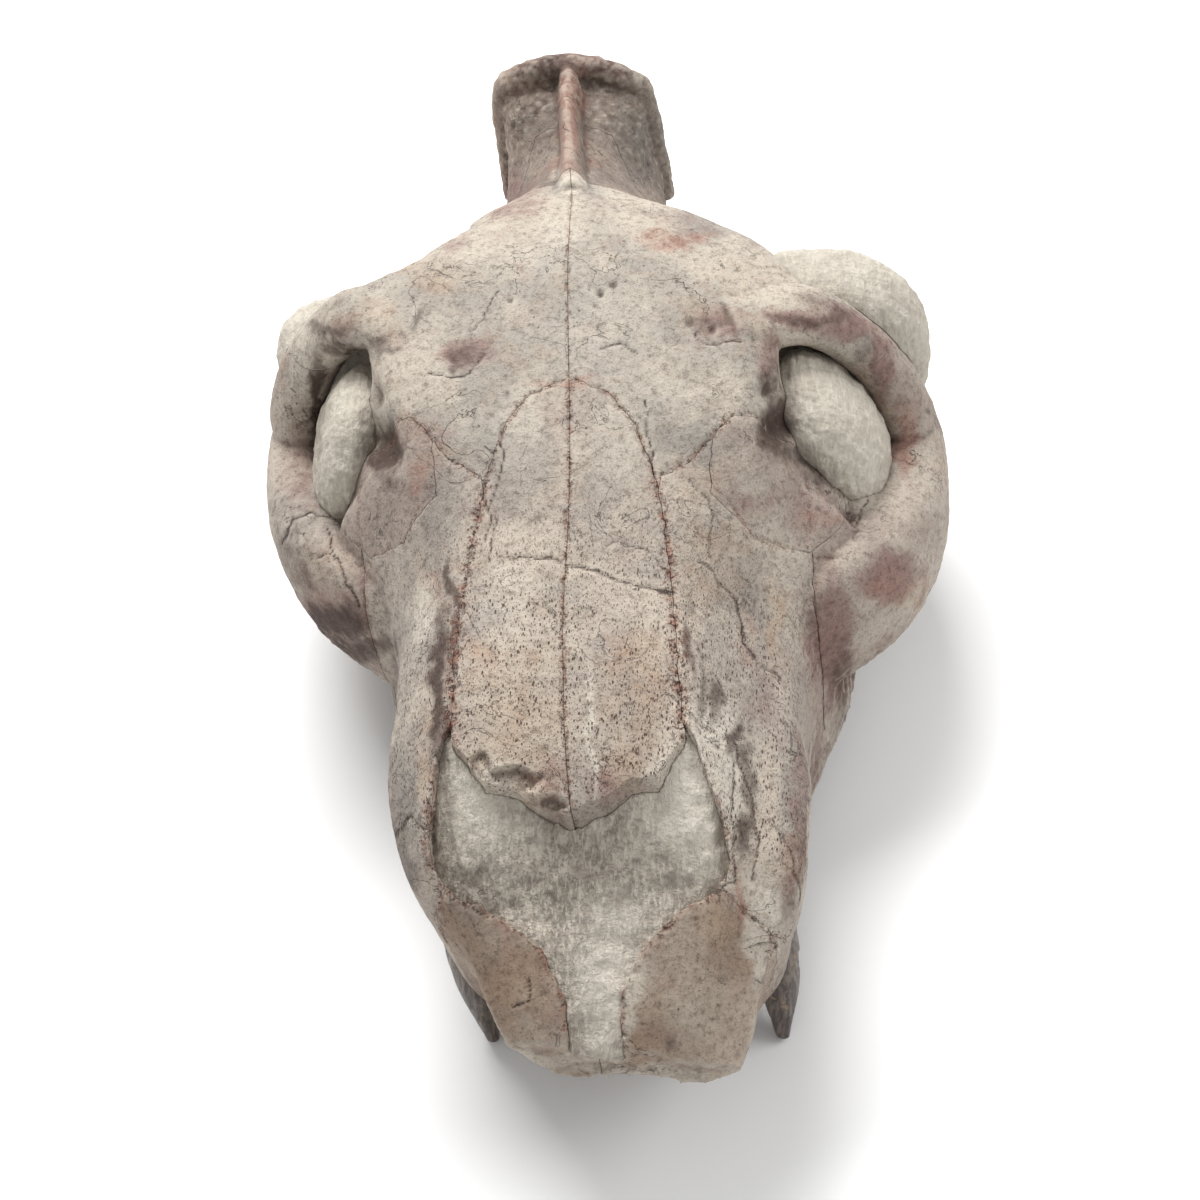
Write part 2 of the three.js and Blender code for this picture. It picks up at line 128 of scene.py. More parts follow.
# %% Profiles of the cranium
PROFILES = {
    "roof_z": [[0, 14.5], [4, 18.5], [8, 21.5], [16, 28], [26, 37], [34, 42.5], [50, 48.5],
        [75, 54.5], [100, 62], [118, 67], [138, 70], [152, 69], [164, 66], [176, 62], [190, 60.5],
        [199, 62.5], [207, 65]],
    "edge_x": [[0, 11], [6, 14], [16, 18], [30, 19.5], [45, 20], [70, 20], [86, 24], [98, 30],
        [110, 32], [122, 37], [131, 45], [138, 42], [146, 36.5], [153, 30.5], [159, 25.5],
        [164, 20], [170, 14], [177, 10], [187, 9], [198, 13], [207, 16]],
    "edge_z": [[0, 13], [6, 18], [16, 26], [30, 38.5], [50, 45], [75, 50], [98, 57], [112, 62],
        [124, 63], [133, 62], [145, 63.5], [156, 61.5], [168, 56], [190, 55.5], [207, 62.5]],
    "wall_x": [[0, 18], [6, 21], [12, 23], [17, 25.5], [21, 29.5], [26, 32.5], [34, 34.8],
        [46, 36.5], [58, 35.5], [68, 35.5], [78, 37.5], [88, 43.5], [97, 48.5], [100, 47],
        [104, 48], [112, 45.5], [119, 38], [126, 24], [140, 16], [155, 16.5], [172, 17.5],
        [190, 17], [207, 16]],
    "wall_z": [[0, 9], [16, 17], [30, 24], [50, 28], [75, 31], [94, 34], [112, 38], [130, 43],
        [160, 42], [207, 44]],
    "socket_x": [[0, 14.5], [6, 18.5], [16, 22.5], [23, 27.5], [30, 30], [44, 32], [58, 34],
        [68, 37.5], [76, 40.5], [86, 44], [95, 45.5], [108, 45.5], [118, 43.5], [126, 37],
        [133, 20], [144, 12], [158, 15], [175, 17], [192, 16], [207, 14]],
    "socket_z": [[0, 5], [8, 2], [20, 0], [124, 0], [130, 5], [138, 12], [150, 19], [160, 23],
        [175, 25], [207, 28]],
    "palate_x": [[0, 8], [10, 12], [24, 16], [45, 20], [60, 20.5], [80, 20], [118, 20], [126, 14],
        [136, 8], [207, 7]],
    "palate_z": [[0, 5], [20, 1], [124, 1], [132, 8], [142, 16], [155, 22], [207, 27]],
    "vault_z": [[0, 7.5], [20, 8], [50, 10], [104, 11], [114, 14], [124, 21], [138, 25], [160, 26],
        [207, 30]],
    "roof_sway": [[0, -1], [8, -0.6], [14, 0], [22, -1], [30, -1.7], [42, -2], [60, -1.9],
        [86, -0.4], [104, 0], [150, 0], [175, -1.2], [195, -2.2], [207, -2.2]],
    "foot_sway": [[0, 3.5], [14, 2.2], [28, 0.7], [42, 0], [150, 0], [175, -1.2], [195, -2.2],
        [207, -2.2]],
    "right_waist": [[0, 0], [132, 0], [137, 4], [143, 9], [152, 9], [160, 4], [170, 0], [207, 0]],
    "right_tip": [[0, 4.5], [22, 0], [207, 0]],
    "rock_drop": [[0, 1.2], [12, 2], [21, 4.2], [29, 4.6], [40, 2.4], [58, 1.6]],
}
AT = {name: profile(points) for name, points in PROFILES.items()}


def aside(x, s, side):
    """How far sideways a point of the lower skull lies: the right side is pressed in by
    RIGHT_REACH, and the midline wanders by the sway at its station."""
    return x * (1.0 if side > 0 else -RIGHT_REACH) + AT["foot_sway"](s)


def cranium_grid(stations, around, lower=None):
    """Rings along the skull: at each station a Catmull-Rom through the eleven keys of the half
    section, mirrored to the other side. The grid runs around first, then along."""
    s = np.asarray(stations, float)
    edge_z, roof = AT["edge_z"](s), AT["roof_z"](s)
    wall_x, wall_z = AT["wall_x"](s), AT["wall_z"](s)
    socket_x, socket_z = AT["socket_x"](s), AT["socket_z"](s)
    palate_x, palate_z, vault = AT["palate_x"](s), AT["palate_z"](s), AT["vault_z"](s)
    halves = []
    for side in (1, -1):
        edge_x = AT["edge_x"](s) - (AT["right_waist"](s) if side < 0 else 0.0)
        keys = np.array([
            [0 * s, roof],
            [edge_x * 0.5, roof + (edge_z - roof) * 0.2],
            [edge_x, edge_z],
            [edge_x * 0.45 + wall_x * 0.55, (edge_z + wall_z) / 2],
            [wall_x, wall_z],
            [socket_x * 0.7 + wall_x * 0.3, socket_z * 0.65 + wall_z * 0.35],
            [socket_x, socket_z + 1.5],
            [socket_x - 2.5, socket_z],
            [palate_x, palate_z],
            [palate_x * 0.7, vault - 1],
            [0 * s, vault],
        ])
        keys[:4, 0] = keys[:4, 0] * side + AT["roof_sway"](s)
        keys[4:, 0] = aside(keys[4:, 0], s, side)
        halves.append(through(keys, around // 2 + 1))
    left, right = halves
    ring = np.concatenate([left, right[-2:0:-1]])
    z = ring[:, 1] - (lower(s) if lower else 0.0)
    broken = AT["right_tip"](s) * np.clip(-ring[:, 0] / TIP_WIDTH, 0, 1)
    return np.stack([ring[:, 0], s + broken, z], -1)


# %% [markdown]
# Arches, bars and pegs of bone are sections carried along a path. A section is a squared circle:
# half its width lies across the path and half its height along a chosen upward direction.

# %% Sections carried along a path
def squared(value, power):
    """The value's size raised to power with its sign kept: a power under 1 squares a circle."""
    return np.sign(value) * np.abs(value) ** power


def swept_grid(rows, side, along, around, up=(0, 0, 1), power=1.0, grow=0.0):
    """Rows of [centre, half width, half height], smoothed by Catmull-Rom. The frame at each
    step is the path's direction, its cross product with up, and the cross product of those."""
    centre = through([row[0] for row in rows], along)
    size = np.abs(through([row[1:] for row in rows], along)) + grow
    forward = np.gradient(centre, axis=0)
    forward /= np.linalg.norm(forward, axis=1)[:, None]
    across = np.cross(forward, np.array(up, float))
    across /= np.linalg.norm(across, axis=1)[:, None]
    rise = np.cross(across, forward)
    angle = np.linspace(0, 2 * np.pi, around, endpoint=False)
    c = squared(np.cos(angle), power)
    q = squared(np.sin(angle), power)
    grid = (centre[None] + across[None] * size[None, :, :1] * c[:, None, None]
            + rise[None] * size[None, :, 1:] * q[:, None, None])
    grid[..., 0] = aside(grid[..., 0], grid[..., 1], side)
    return grid


def ball_grid(centre, radii, turn, side, around=48, along=32, power=1.0):
    """An ellipsoid by longitude and latitude, each raised to power to square it, turned about
    the lengthwise axis and moved to its centre."""
    u = np.linspace(0, 2 * np.pi, around, endpoint=False)[:, None]
    v = np.linspace(0.02, np.pi - 0.02, along)[None]
    x = squared(np.cos(u), power) * squared(np.sin(v), power) * radii[0]
    s = squared(np.sin(u), power) * squared(np.sin(v), power) * radii[1]
    z = squared(np.cos(v), power) * radii[2] + 0 * u
    a = math.radians(turn)
    x, z = x * math.cos(a) - z * math.sin(a), x * math.sin(a) + z * math.cos(a)
    sideways = x * side + aside(centre[0], centre[1], side)
    return np.stack([sideways, s + centre[1], z + centre[2]], -1)


# %% Rows of the swept bones, teeth and rocks, the same as in the solids
# A row of a swept bone is [centre, half width, half height]. A tooth is [[x, s], length, width],
# a lump [centre, radii] and a rock [centre, radii, turn in degrees].
ARCH_ROWS = [[[29, 80, 22], 6, 13], [[42, 89, 22.5], 7.5, 14], [[51.5, 98, 23.5], 8, 13.5],
    [[57, 110, 24], 8.5, 11.5], [[61, 124, 25], 6.5, 10.5], [[61, 138, 27], 5.5, 9.5],
    [[57, 151, 28.5], 5, 10.5], [[45, 164, 29.5], 7, 10], [[30, 173, 29], 8, 8.5],
    [[12, 177, 31], 9, 9]]
BAR_ROWS = [[[28, 125, 63], 4, 9], [[42, 130, 60.5], 4.5, 7], [[50.5, 132, 53.5], 4.8, 6.5],
            [[56.5, 132.5, 45], 5.2, 7], [[60, 131, 36], 5.5, 8], [[62, 131, 28], 3.5, 6]]
PAROCCIPITAL_ROWS = [[[17, 186, 30], 7, 6], [[20, 189, 22], 5, 5], [[21, 190.5, 11], 3.5, 4.5],
                     [[20.5, 189.5, 0.4], 1.8, 2.4]]
PTERYGOID_ROWS = [[[11, 119, 13], 2, 7], [[9.5, 128, 12], 1.8, 8], [[8.5, 138, 16], 1.8, 7],
                  [[8, 150, 22], 2, 5]]
CANINE_ROWS = [[[25.5, 34, 9], 5, 6.5], [[26.5, 31.5, 4], 4.8, 6], [[26.8, 27, -5], 3.6, 4.6],
               [[26, 22.5, -14.7], 1.2, 1.5]]
CREST_ROWS = [[[0, 161, 63], 3.2, 4.5], [[0, 170, 60], 2.4, 7.5], [[0, 181, 58.5], 1.8, 8.5],
              [[0, 193, 58.5], 1.8, 9], [[0, 205, 59.5], 2.2, 8]]
NUCHAL = {"half_width": 16.0, "foot": 37.0, "top": 66.5, "front": 202.0, "back": 206.5,
          "radius": 2.6}
CHEEK_TEETH = [[[26, 41.5], 8, 5.5], [[27, 51], 10, 7], [[28.2, 61.5], 10.5, 9],
    [[29.2, 71.5], 9.5, 12], [[30.5, 83], 13.5, 15], [[32.3, 98], 16.5, 17],
    [[33.2, 116], 19.5, 18]]
LUMPS = {
    "condyle": [[9, 206, 31], [7, 6, 7]],
    "bulla": [[13, 176, 24], [6, 8, 6]],
    "postglenoid": [[29, 168, 23], [8, 4, 8]],
    "orbit_corner": [[49.5, 105.5, 31], [6, 8, 6]],
}
CROWN_HEIGHT = 6.2
CROWN_ROOT = 6.0
ORBIT_ROCK = {
    "left": [[46, 119, 43], [8, 16.5, 15], 35],
    "right": [[46.5, 116.5, 42], [6.5, 16.5, 14], 25],
}
TEMPORAL_ROCK = {
    "left": [[46, 145, 42], [21, 14, 19], 0],
    "right": [[47, 140.5, 40], [16, 11, 15], 0],
}


def nuchal_rows():
    """The crest over the back of the head: an arc from one side up over the midline."""
    angle = np.pi * (np.linspace(0, 1, 9) - 0.5)
    rise = np.cos(angle) ** 0.3
    rise[[0, -1]] = 0.0
    x = NUCHAL["half_width"] * np.sin(angle)
    s = NUCHAL["front"] + (NUCHAL["back"] - NUCHAL["front"]) * rise
    z = NUCHAL["foot"] + (NUCHAL["top"] - NUCHAL["foot"]) * rise
    return [[[a, b, c], NUCHAL["radius"], NUCHAL["radius"]] for a, b, c in zip(x, s, z)]


# %% [markdown]
# The cheek teeth of an oreodont are crescent-cusped. Each crown is a squared ring that narrows to
# its worn face, with four low cusps and a valley between them pressed into that face.

# %% Cheek teeth
def tooth_grid(middle, length, width, side, around=48, rings=26):
    """A crown from inside its socket down to the worn face, which closes in its middle. The
    face's height falls with the product of two cosines, which makes four cusps."""
    centre, station = middle
    angle = np.linspace(0, 2 * np.pi, around, endpoint=False)[:, None]
    t = np.linspace(0, 1, rings)[None]
    wall = np.clip(t / 0.6, 0, 1)
    face = np.clip((t - 0.6) / 0.4, 0, 1)
    scale = (0.88 + 0.12 * np.sin(np.pi * np.clip(wall * 0.62, 0, 1))) * (1 - 0.97 * face)
    styles = 1 + 0.05 * np.cos(4 * angle) * wall
    x = (width / 2) * scale * squared(np.cos(angle), 0.7) * styles
    s = (length / 2) * scale * squared(np.sin(angle), 0.7) * styles
    cusps = 0.9 * np.cos(x / width * 2 * np.pi) * np.cos(s / length * 4 * np.pi)
    worn = face * 0.8 * (cusps - 0.3) * np.sin(np.pi * face)
    z = CROWN_ROOT - (CROWN_ROOT + CROWN_HEIGHT - 0.6) * wall ** 0.9 + worn
    return np.stack([aside(x + centre, s + station, side), s + station, z + 0 * angle], -1)


# %% Meshes from grids
def grid_faces(grid):
    """Vertices and triangles of a grid that closes round its first direction, with a fan over
    each end, turned so that its volume comes out positive."""
    m, n = grid.shape[:2]
    points = grid.reshape(-1, 3)
    i, j = np.meshgrid(np.arange(m), np.arange(n - 1), indexing="ij")
    a = i * n + j
    b = ((i + 1) % m) * n + j
    faces = [np.stack(corners, -1).reshape(-1, 3) for corners in ([a, b, b + 1], [a, b + 1, a + 1])]
    first, last = len(points), len(points) + 1
    points = np.vstack([points, grid[:, 0].mean(0), grid[:, -1].mean(0)])
    k = np.arange(m)
    nxt = (k + 1) % m
    faces.append(np.stack([np.full(m, first), nxt * n, k * n], -1))
    faces.append(np.stack([np.full(m, last), k * n + n - 1, nxt * n + n - 1], -1))
    faces = np.vstack(faces)
    p = points[faces]
    if np.einsum("ij,ij->i", p[:, 0], np.cross(p[:, 1], p[:, 2])).sum() < 0:
        faces = faces[:, ::-1]
    return points, faces


def mesh_object(name, points, faces):
    """An object at the origin from vertices and faces, linked to the scene."""
    mesh = bpy.data.meshes.new(name)
    mesh.vertices.add(len(points))
    mesh.vertices.foreach_set("co", np.ascontiguousarray(points, np.float32).ravel())
    mesh.loops.add(faces.size)
    mesh.loops.foreach_set("vertex_index", np.ascontiguousarray(faces, np.int32).ravel())
    mesh.polygons.add(len(faces))
    starts = np.arange(0, faces.size, faces.shape[1], dtype=np.int32)
    mesh.polygons.foreach_set("loop_start", starts)
    mesh.update(calc_edges=True)
    obj = bpy.data.objects.new(name, mesh)
    bpy.context.scene.collection.objects.link(obj)
    return obj


def joined(name, grids):
    points, faces, count = [], [], 0
    for grid in grids:
        p, f = grid_faces(grid)
        points.append(p)
        faces.append(f + count)
        count += len(p)
    return mesh_object(name, np.vstack(points), np.vstack(faces))


def applied(obj):
    """Replaces an object's mesh by the one its modifiers give, and removes them."""
    bpy.context.view_layer.update()
    graph = bpy.context.evaluated_depsgraph_get()
    new = bpy.data.meshes.new_from_object(obj.evaluated_get(graph))
    old = obj.data
    obj.modifiers.clear()
    obj.data = new
    bpy.data.meshes.remove(old)
    return obj


def coordinates(mesh):
    out = np.empty(len(mesh.vertices) * 3, np.float32)
    mesh.vertices.foreach_get("co", out)
    return out.reshape(-1, 3).astype(float)


def set_coordinates(mesh, points):
    mesh.vertices.foreach_set("co", np.ascontiguousarray(points, np.float32).ravel())
    mesh.update()


def normals(mesh):
    out = np.empty(len(mesh.vertices) * 3, np.float32)
    mesh.vertex_normals.foreach_get("vector", out)
    return out.reshape(-1, 3).astype(float)


def pushed(obj, points, distance):
    """Moves an object's vertices along their normals, each by its own distance."""
    set_coordinates(obj.data, points + normals(obj.data) * distance[:, None])


# %% [markdown]
# Noise that repeats exactly each run: random values on a lattice, blended smoothly between its
# corners. Adding finer and weaker copies gives the broken look of stone.

# %% Seeded noise
LATTICE = np.random.RandomState(7).rand(64, 64, 64) * 2 - 1


def noise(points, size, octaves=3, seed=0.0):
    """Value noise in -1 to 1: lattice values blended by smoothed fractions, with each octave
    half as large and half as strong."""
    total, strength, norm = 0.0, 1.0, 0.0
    p = points / size + seed * np.array([3.7, 11.3, 5.9]) + 100.0
    for _ in range(octaves):
        base = np.floor(p).astype(int)
        f = p - base
        f = f * f * (3 - 2 * f)
        value = 0.0
        for corner in range(8):
            step = np.array([corner & 1, corner >> 1 & 1, corner >> 2 & 1])
            i = (base + step) & 63
            weight = np.prod(np.where(step, f, 1 - f), axis=1)
            value = value + weight * LATTICE[i[:, 0], i[:, 1], i[:, 2]]
        total = total + strength * value
        norm += strength
        strength *= 0.5
        p = p * 2.03 + 17.0
    return total / norm


# %% [markdown]
# All the bone is first made as one body. Its pieces are joined by a voxel remesh, which melts the
# arches and bars into the cranium as living bone grows, and a few rounds of smoothing take the
# voxel steps away.

# %% One body of bone
VOXEL = 0.5
STEP = 0.7
CREST_GROWTH = 0.7


def bone_grids():
    """Every grid of the bone: cranium, crests, and on both sides arch, bar, points and teeth."""
    extra = [98.6, 102.4, 103.6, SKULL_LENGTH]
    stations = np.unique(np.concatenate([np.arange(0, SKULL_LENGTH, STEP), extra]))
    grids = [cranium_grid(stations, 260), swept_grid(nuchal_rows(), 1, 90, 24, up=(0, 1, 0)),
             swept_grid(CREST_ROWS, 1, 80, 24, grow=CREST_GROWTH)]
    for side in (1, -1):
        grids.append(swept_grid(ARCH_ROWS, side, 200, 64, power=0.8))
        grids.append(swept_grid(BAR_ROWS, side, 70, 40, up=(0, 1, 0)))
        grids.append(swept_grid(PAROCCIPITAL_ROWS, side, 50, 30, up=(0, 1, 0)))
        grids.append(swept_grid(PTERYGOID_ROWS, side, 50, 24))
        grids += [ball_grid(centre, radii, 0, side) for centre, radii in LUMPS.values()]
        grids += [tooth_grid(*tooth, side) for tooth in CHEEK_TEETH]
    return grids


bone = joined("bone", bone_grids())
remesh = bone.modifiers.new("join", "REMESH")
remesh.mode = "VOXEL"
remesh.voxel_size = VOXEL
remesh.adaptivity = 0.0
applied(bone)
print("bone body", len(bone.data.vertices), "vertices", round(time.time() - START, 1), "s")


# %% Smoothing
def edge_pairs(mesh):
    out = np.empty(len(mesh.edges) * 2, np.int32)
    mesh.edges.foreach_get("vertices", out)
    return out.reshape(-1, 2)


def smoothed(points, edges, rounds, amount=0.5, keep=0.0):
    """Each round moves every vertex towards the mean of its neighbours, by amount, then a
    little back out by keep, so that small bumps go and the volume stays."""
    a = np.concatenate([edges[:, 0], edges[:, 1]])
    b = np.concatenate([edges[:, 1], edges[:, 0]])
    count = np.bincount(a, minlength=len(points))[:, None]
    for _ in range(rounds):
        for step in (amount, -keep):
            if step == 0:
                continue
            total = [np.bincount(a, points[b, k], minlength=len(points)) for k in range(3)]
            points = points + step * (np.stack(total, 1) / count - points)
    return points


pairs = edge_pairs(bone.data)
plain = smoothed(coordinates(bone.data), pairs, 8, 0.55, 0.5)
set_coordinates(bone.data, plain)
print("smoothed", round(time.time() - START, 1), "s")

# %% [markdown]
# The camera comes early, because many marks on this fossil are placed where the photograph shows
# them. The view looks down on the snout at fifty degrees through a lens a little longer than
# normal. A mark's place is a pixel of the photograph, and the bone under that pixel takes it.

# %% Camera
PHOTO = 1200
FOCAL_PIXELS = 2200.0
SENSOR = 36.0
VIEW_HEIGHT_ANGLE = math.radians(50.2)
VIEW_TURN = math.radians(0.9)
VIEW_DISTANCE = 0.417
VIEW_TARGET = np.array([-0.00164, -0.00782, 0.0261])
BACK = np.array([math.sin(VIEW_TURN) * math.cos(VIEW_HEIGHT_ANGLE),
                 -math.cos(VIEW_TURN) * math.cos(VIEW_HEIGHT_ANGLE), math.sin(VIEW_HEIGHT_ANGLE)])
EYE = VIEW_TARGET + VIEW_DISTANCE * BACK
RIGHT = np.cross([0, 0, 1], BACK)
RIGHT = RIGHT / np.linalg.norm(RIGHT)
UP = np.cross(BACK, RIGHT)

camera_data = bpy.data.cameras.new("camera")
camera_data.sensor_fit = "HORIZONTAL"
camera_data.sensor_width = SENSOR
camera_data.lens = FOCAL_PIXELS * SENSOR / PHOTO
camera_data.clip_start = 0.01
camera = bpy.data.objects.new("camera", camera_data)
bpy.context.scene.collection.objects.link(camera)
turn = np.eye(4)
turn[:3, 0], turn[:3, 1], turn[:3, 2], turn[:3, 3] = RIGHT, UP, BACK, EYE
camera.matrix_world = Matrix(turn.tolist())
bpy.context.scene.camera = camera
print("lens", round(camera_data.lens, 1), "mm")


def photo_place(points):
    """Where points in skull measures fall in the photograph: the pinhole rule, distance across
    divided by depth, times the focal length."""
    d = to_frame(points) - EYE
    depth = -(d @ BACK)
    return np.stack([PHOTO / 2 + FOCAL_PIXELS * (d @ RIGHT) / depth,
                     PHOTO / 2 - FOCAL_PIXELS * (d @ UP) / depth], 1)


def facing(points, normal):
    """How squarely a surface faces the camera, from 0 at its outline to 1."""
    tip = to_frame(points + normal * 0.01) - to_frame(points)
    tip = tip / np.linalg.norm(tip, axis=1)[:, None]
    to_eye = EYE - to_frame(points)
    to_eye = to_eye / np.linalg.norm(to_eye, axis=1)[:, None]
    return np.clip(np.einsum("ij,ij->i", tip, to_eye), 0, 1)


# %% [markdown]
# The sutures are the lines along which the bones met. From above they are outlines, one for each
# bone of the left side, and the right side mirrors them. A real suture wanders, so every outline
# is walked in small steps and each step is nudged by noise.

# %% Outlines of the bones seen from above
SUTURE_GAP = 0.12
MID = SUTURE_GAP / 2
NASAL = [[MID, 29], [5, 30.5], [9, 33], [14, 34], [19, 41], [18.3, 60], [16.9, 76], [14.8, 88],
    [11.5, 98], [7.5, 104], [MID, 107.5]]
FRONTAL = [[MID, 80], [13, 80], [15.5, 89], [21, 93], [28, 102], [40, 106], [48, 116], [62, 124],
    [62, 143], [45, 146], [33, 151], [22, 158], [10, 164], [MID, 167]]
LACRIMAL = [[24, 88], [31, 85], [39, 88], [52, 92], [52, 108], [30, 108], [24.5, 97]]
NOSE_OPENING = [[-1, -9], [4.2, -9], [4.5, 7], [8, 13], [14, 17], [21, 20.5], [24, 25], [24, 31],
    [20.5, 42], [16, 47], [-1, 50]]
PREMAXILLA = [[MID, -9], [40, -9], [40, 13], [27, 19.5], [21, 22], [MID, 22]]
MAXILLA = [[MID, -9], [60, -9], [60, 103], [45, 103], [45, 128], [20, 131], [12, 121], [MID, 121]]
JUGAL = [[40.5, 70], [75, 70], [75, 139], [50, 143], [46, 130], [46, 110], [40.5, 104]]
SQUAMOSAL = [[50, 142], [75, 138], [75, 182], [19, 182], [19, 160], [30, 150]]
OCCIPITAL = [[-40, 183.5], [-12, 183.5], [-8, 193], [8, 193], [12, 183.5], [40, 183.5], [40, 230],
    [-40, 230]]
NASAL_RANGE = {"low": 31, "slope": 0.24, "origin": 29}
FRONTAL_RANGE = {"low": 44, "slope": 0.2, "origin": 88}
LACRIMAL_FOOT = 39
JUGAL_FOOT = 7.5
WANDER = 0.3
WANDER_STEP = 0.8
BLOCK_FLOOR = -40.0
BLOCK_TOP = 100.0


def jagged(outline, side):
    """An outline in small steps, each moved sideways by noise. Points on the midline keep x."""
    corners = np.array(outline, float)
    out = []
    for a, b in zip(corners, np.roll(corners, -1, 0)):
        count = max(1, int(np.linalg.norm(b - a) / WANDER_STEP))
        t = np.arange(count)[:, None] / count
        out.append(a + (b - a) * t)
    p = np.vstack(out)
    place = np.column_stack([p, np.full(len(p), 3.0 * side)])
    move = np.stack([noise(place, 1.6, 2, 1.0), noise(place, 1.6, 2, 9.0)], 1) * WANDER
    on_middle = np.abs(p[:, 0]) < MID + 0.01
    move[on_middle, 0] = 0.0
    p = p + move * 1.6
    p[~on_middle & (p[:, 0] > 0) & (p[:, 0] < MID), 0] = MID
    return np.column_stack([p[:, 0] * side + AT["roof_sway"](p[:, 1]), p[:, 1]])


def winding(p):
    """1 for an outline that runs anticlockwise, -1 for clockwise: the sign of its area."""
    return np.sign(np.sum(p[:, 0] * np.roll(p[:, 1], -1) - np.roll(p[:, 0], -1) * p[:, 1]))


def widened(p, distance):
    """Moves an outline out along the mean normal of its two neighbouring sides."""
    turn = winding(p)
    edge = np.roll(p, -1, 0) - p
    normal = np.stack([edge[:, 1], -edge[:, 0]], 1) * turn
    normal = normal / np.maximum(np.linalg.norm(normal, axis=1), 1e-9)[:, None]
    both = normal + np.roll(normal, 1, 0)
    both = both / np.maximum(np.linalg.norm(both, axis=1), 1e-9)[:, None]
    reach = distance / np.maximum(np.einsum("ij,ij->i", both, normal), 0.4)
    return p + both * reach[:, None]


def block(outline, side, low=BLOCK_FLOOR, slope=0.0, origin=0.0, grow=0.0):
    """A cutter: the outline raised from a floor that may slope with s up to a flat top."""
    p = widened(jagged(outline, side), grow) if grow else jagged(outline, side)
    n = len(p)
    floor_z = low - grow + slope * (p[:, 1] - origin)
    top_z = np.full(n, BLOCK_TOP + grow)
    points = np.vstack([np.column_stack([p, floor_z]), np.column_stack([p, top_z])])
    flat = [Vector((a, b, 0.0)) for a, b in p]
    cap = np.array(tessellate_polygon([flat]))
    k = np.arange(n)
    nxt = (k + 1) % n
    walls = np.vstack([np.stack([k, nxt, nxt + n], 1), np.stack([k, nxt + n, k + n], 1)])
    if winding(p) < 0:
        walls = walls[:, ::-1]
    a, b, c = p[cap[:, 0]], p[cap[:, 1]], p[cap[:, 2]]
    area = (b[:, 0] - a[:, 0]) * (c[:, 1] - a[:, 1]) - (b[:, 1] - a[:, 1]) * (c[:, 0] - a[:, 0])
    cap = np.where(area[:, None] < 0, cap[:, ::-1], cap)
    return mesh_object("cutter", points, np.vstack([walls, cap + n, cap[:, ::-1]]))


# %% Cutting and joining
def combined(obj, other, operation):
    """Joins or cuts one closed mesh by another and keeps the result in the first."""
    change = obj.modifiers.new("cut", "BOOLEAN")
    change.operation = operation
    change.solver = "MANIFOLD"
    change.object = other
    return applied(obj)


def copy_of(obj, name):
    new = bpy.data.objects.new(name, obj.data.copy())
    bpy.context.scene.collection.objects.link(new)
    return new


def removed(obj):
    data = obj.data
    bpy.data.objects.remove(obj)
    bpy.data.meshes.remove(data)


def largest_body(obj):
    """Keeps the biggest connected surface: labels spread along edges, by jumps that double,
    until every vertex carries the lowest number of its own body."""
    mesh = obj.data
    e = edge_pairs(mesh)
    n = len(mesh.vertices)
    label = np.arange(n)
    while True:
        low = np.minimum(label[e[:, 0]], label[e[:, 1]])
        new = label.copy()
        np.minimum.at(new, label[e[:, 0]], low)
        np.minimum.at(new, label[e[:, 1]], low)
        new = new[new]
        while not np.array_equal(new, new[new]):
            new = new[new]
        if np.array_equal(new, label):
            break
        label = new
    sizes = np.bincount(label, minlength=n)
    keep = label == sizes.argmax()
    if keep.all():
        return obj
    faces = np.empty(len(mesh.loops), np.int32)
    mesh.loops.foreach_get("vertex_index", faces)
    starts = np.empty(len(mesh.polygons), np.int32)
    totals = np.empty(len(mesh.polygons), np.int32)
    mesh.polygons.foreach_get("loop_start", starts)
    mesh.polygons.foreach_get("loop_total", totals)
    index = np.cumsum(keep) - 1
    kept = keep[faces[starts]]
    loops = np.repeat(kept, totals)
    new = bpy.data.meshes.new(mesh.name)
    points = coordinates(mesh)[keep]
    new.vertices.add(len(points))
    new.vertices.foreach_set("co", points.astype(np.float32).ravel())
    flat = index[faces[loops]].astype(np.int32)
    new.loops.add(len(flat))
    new.loops.foreach_set("vertex_index", flat)
    counts = totals[kept]
    new.polygons.add(len(counts))
    starts = np.concatenate([[0], np.cumsum(counts)[:-1]])
    new.polygons.foreach_set("loop_start", starts.astype(np.int32))
    new.update(calc_edges=True)
    obj.data = new
    bpy.data.meshes.remove(mesh)
    return obj
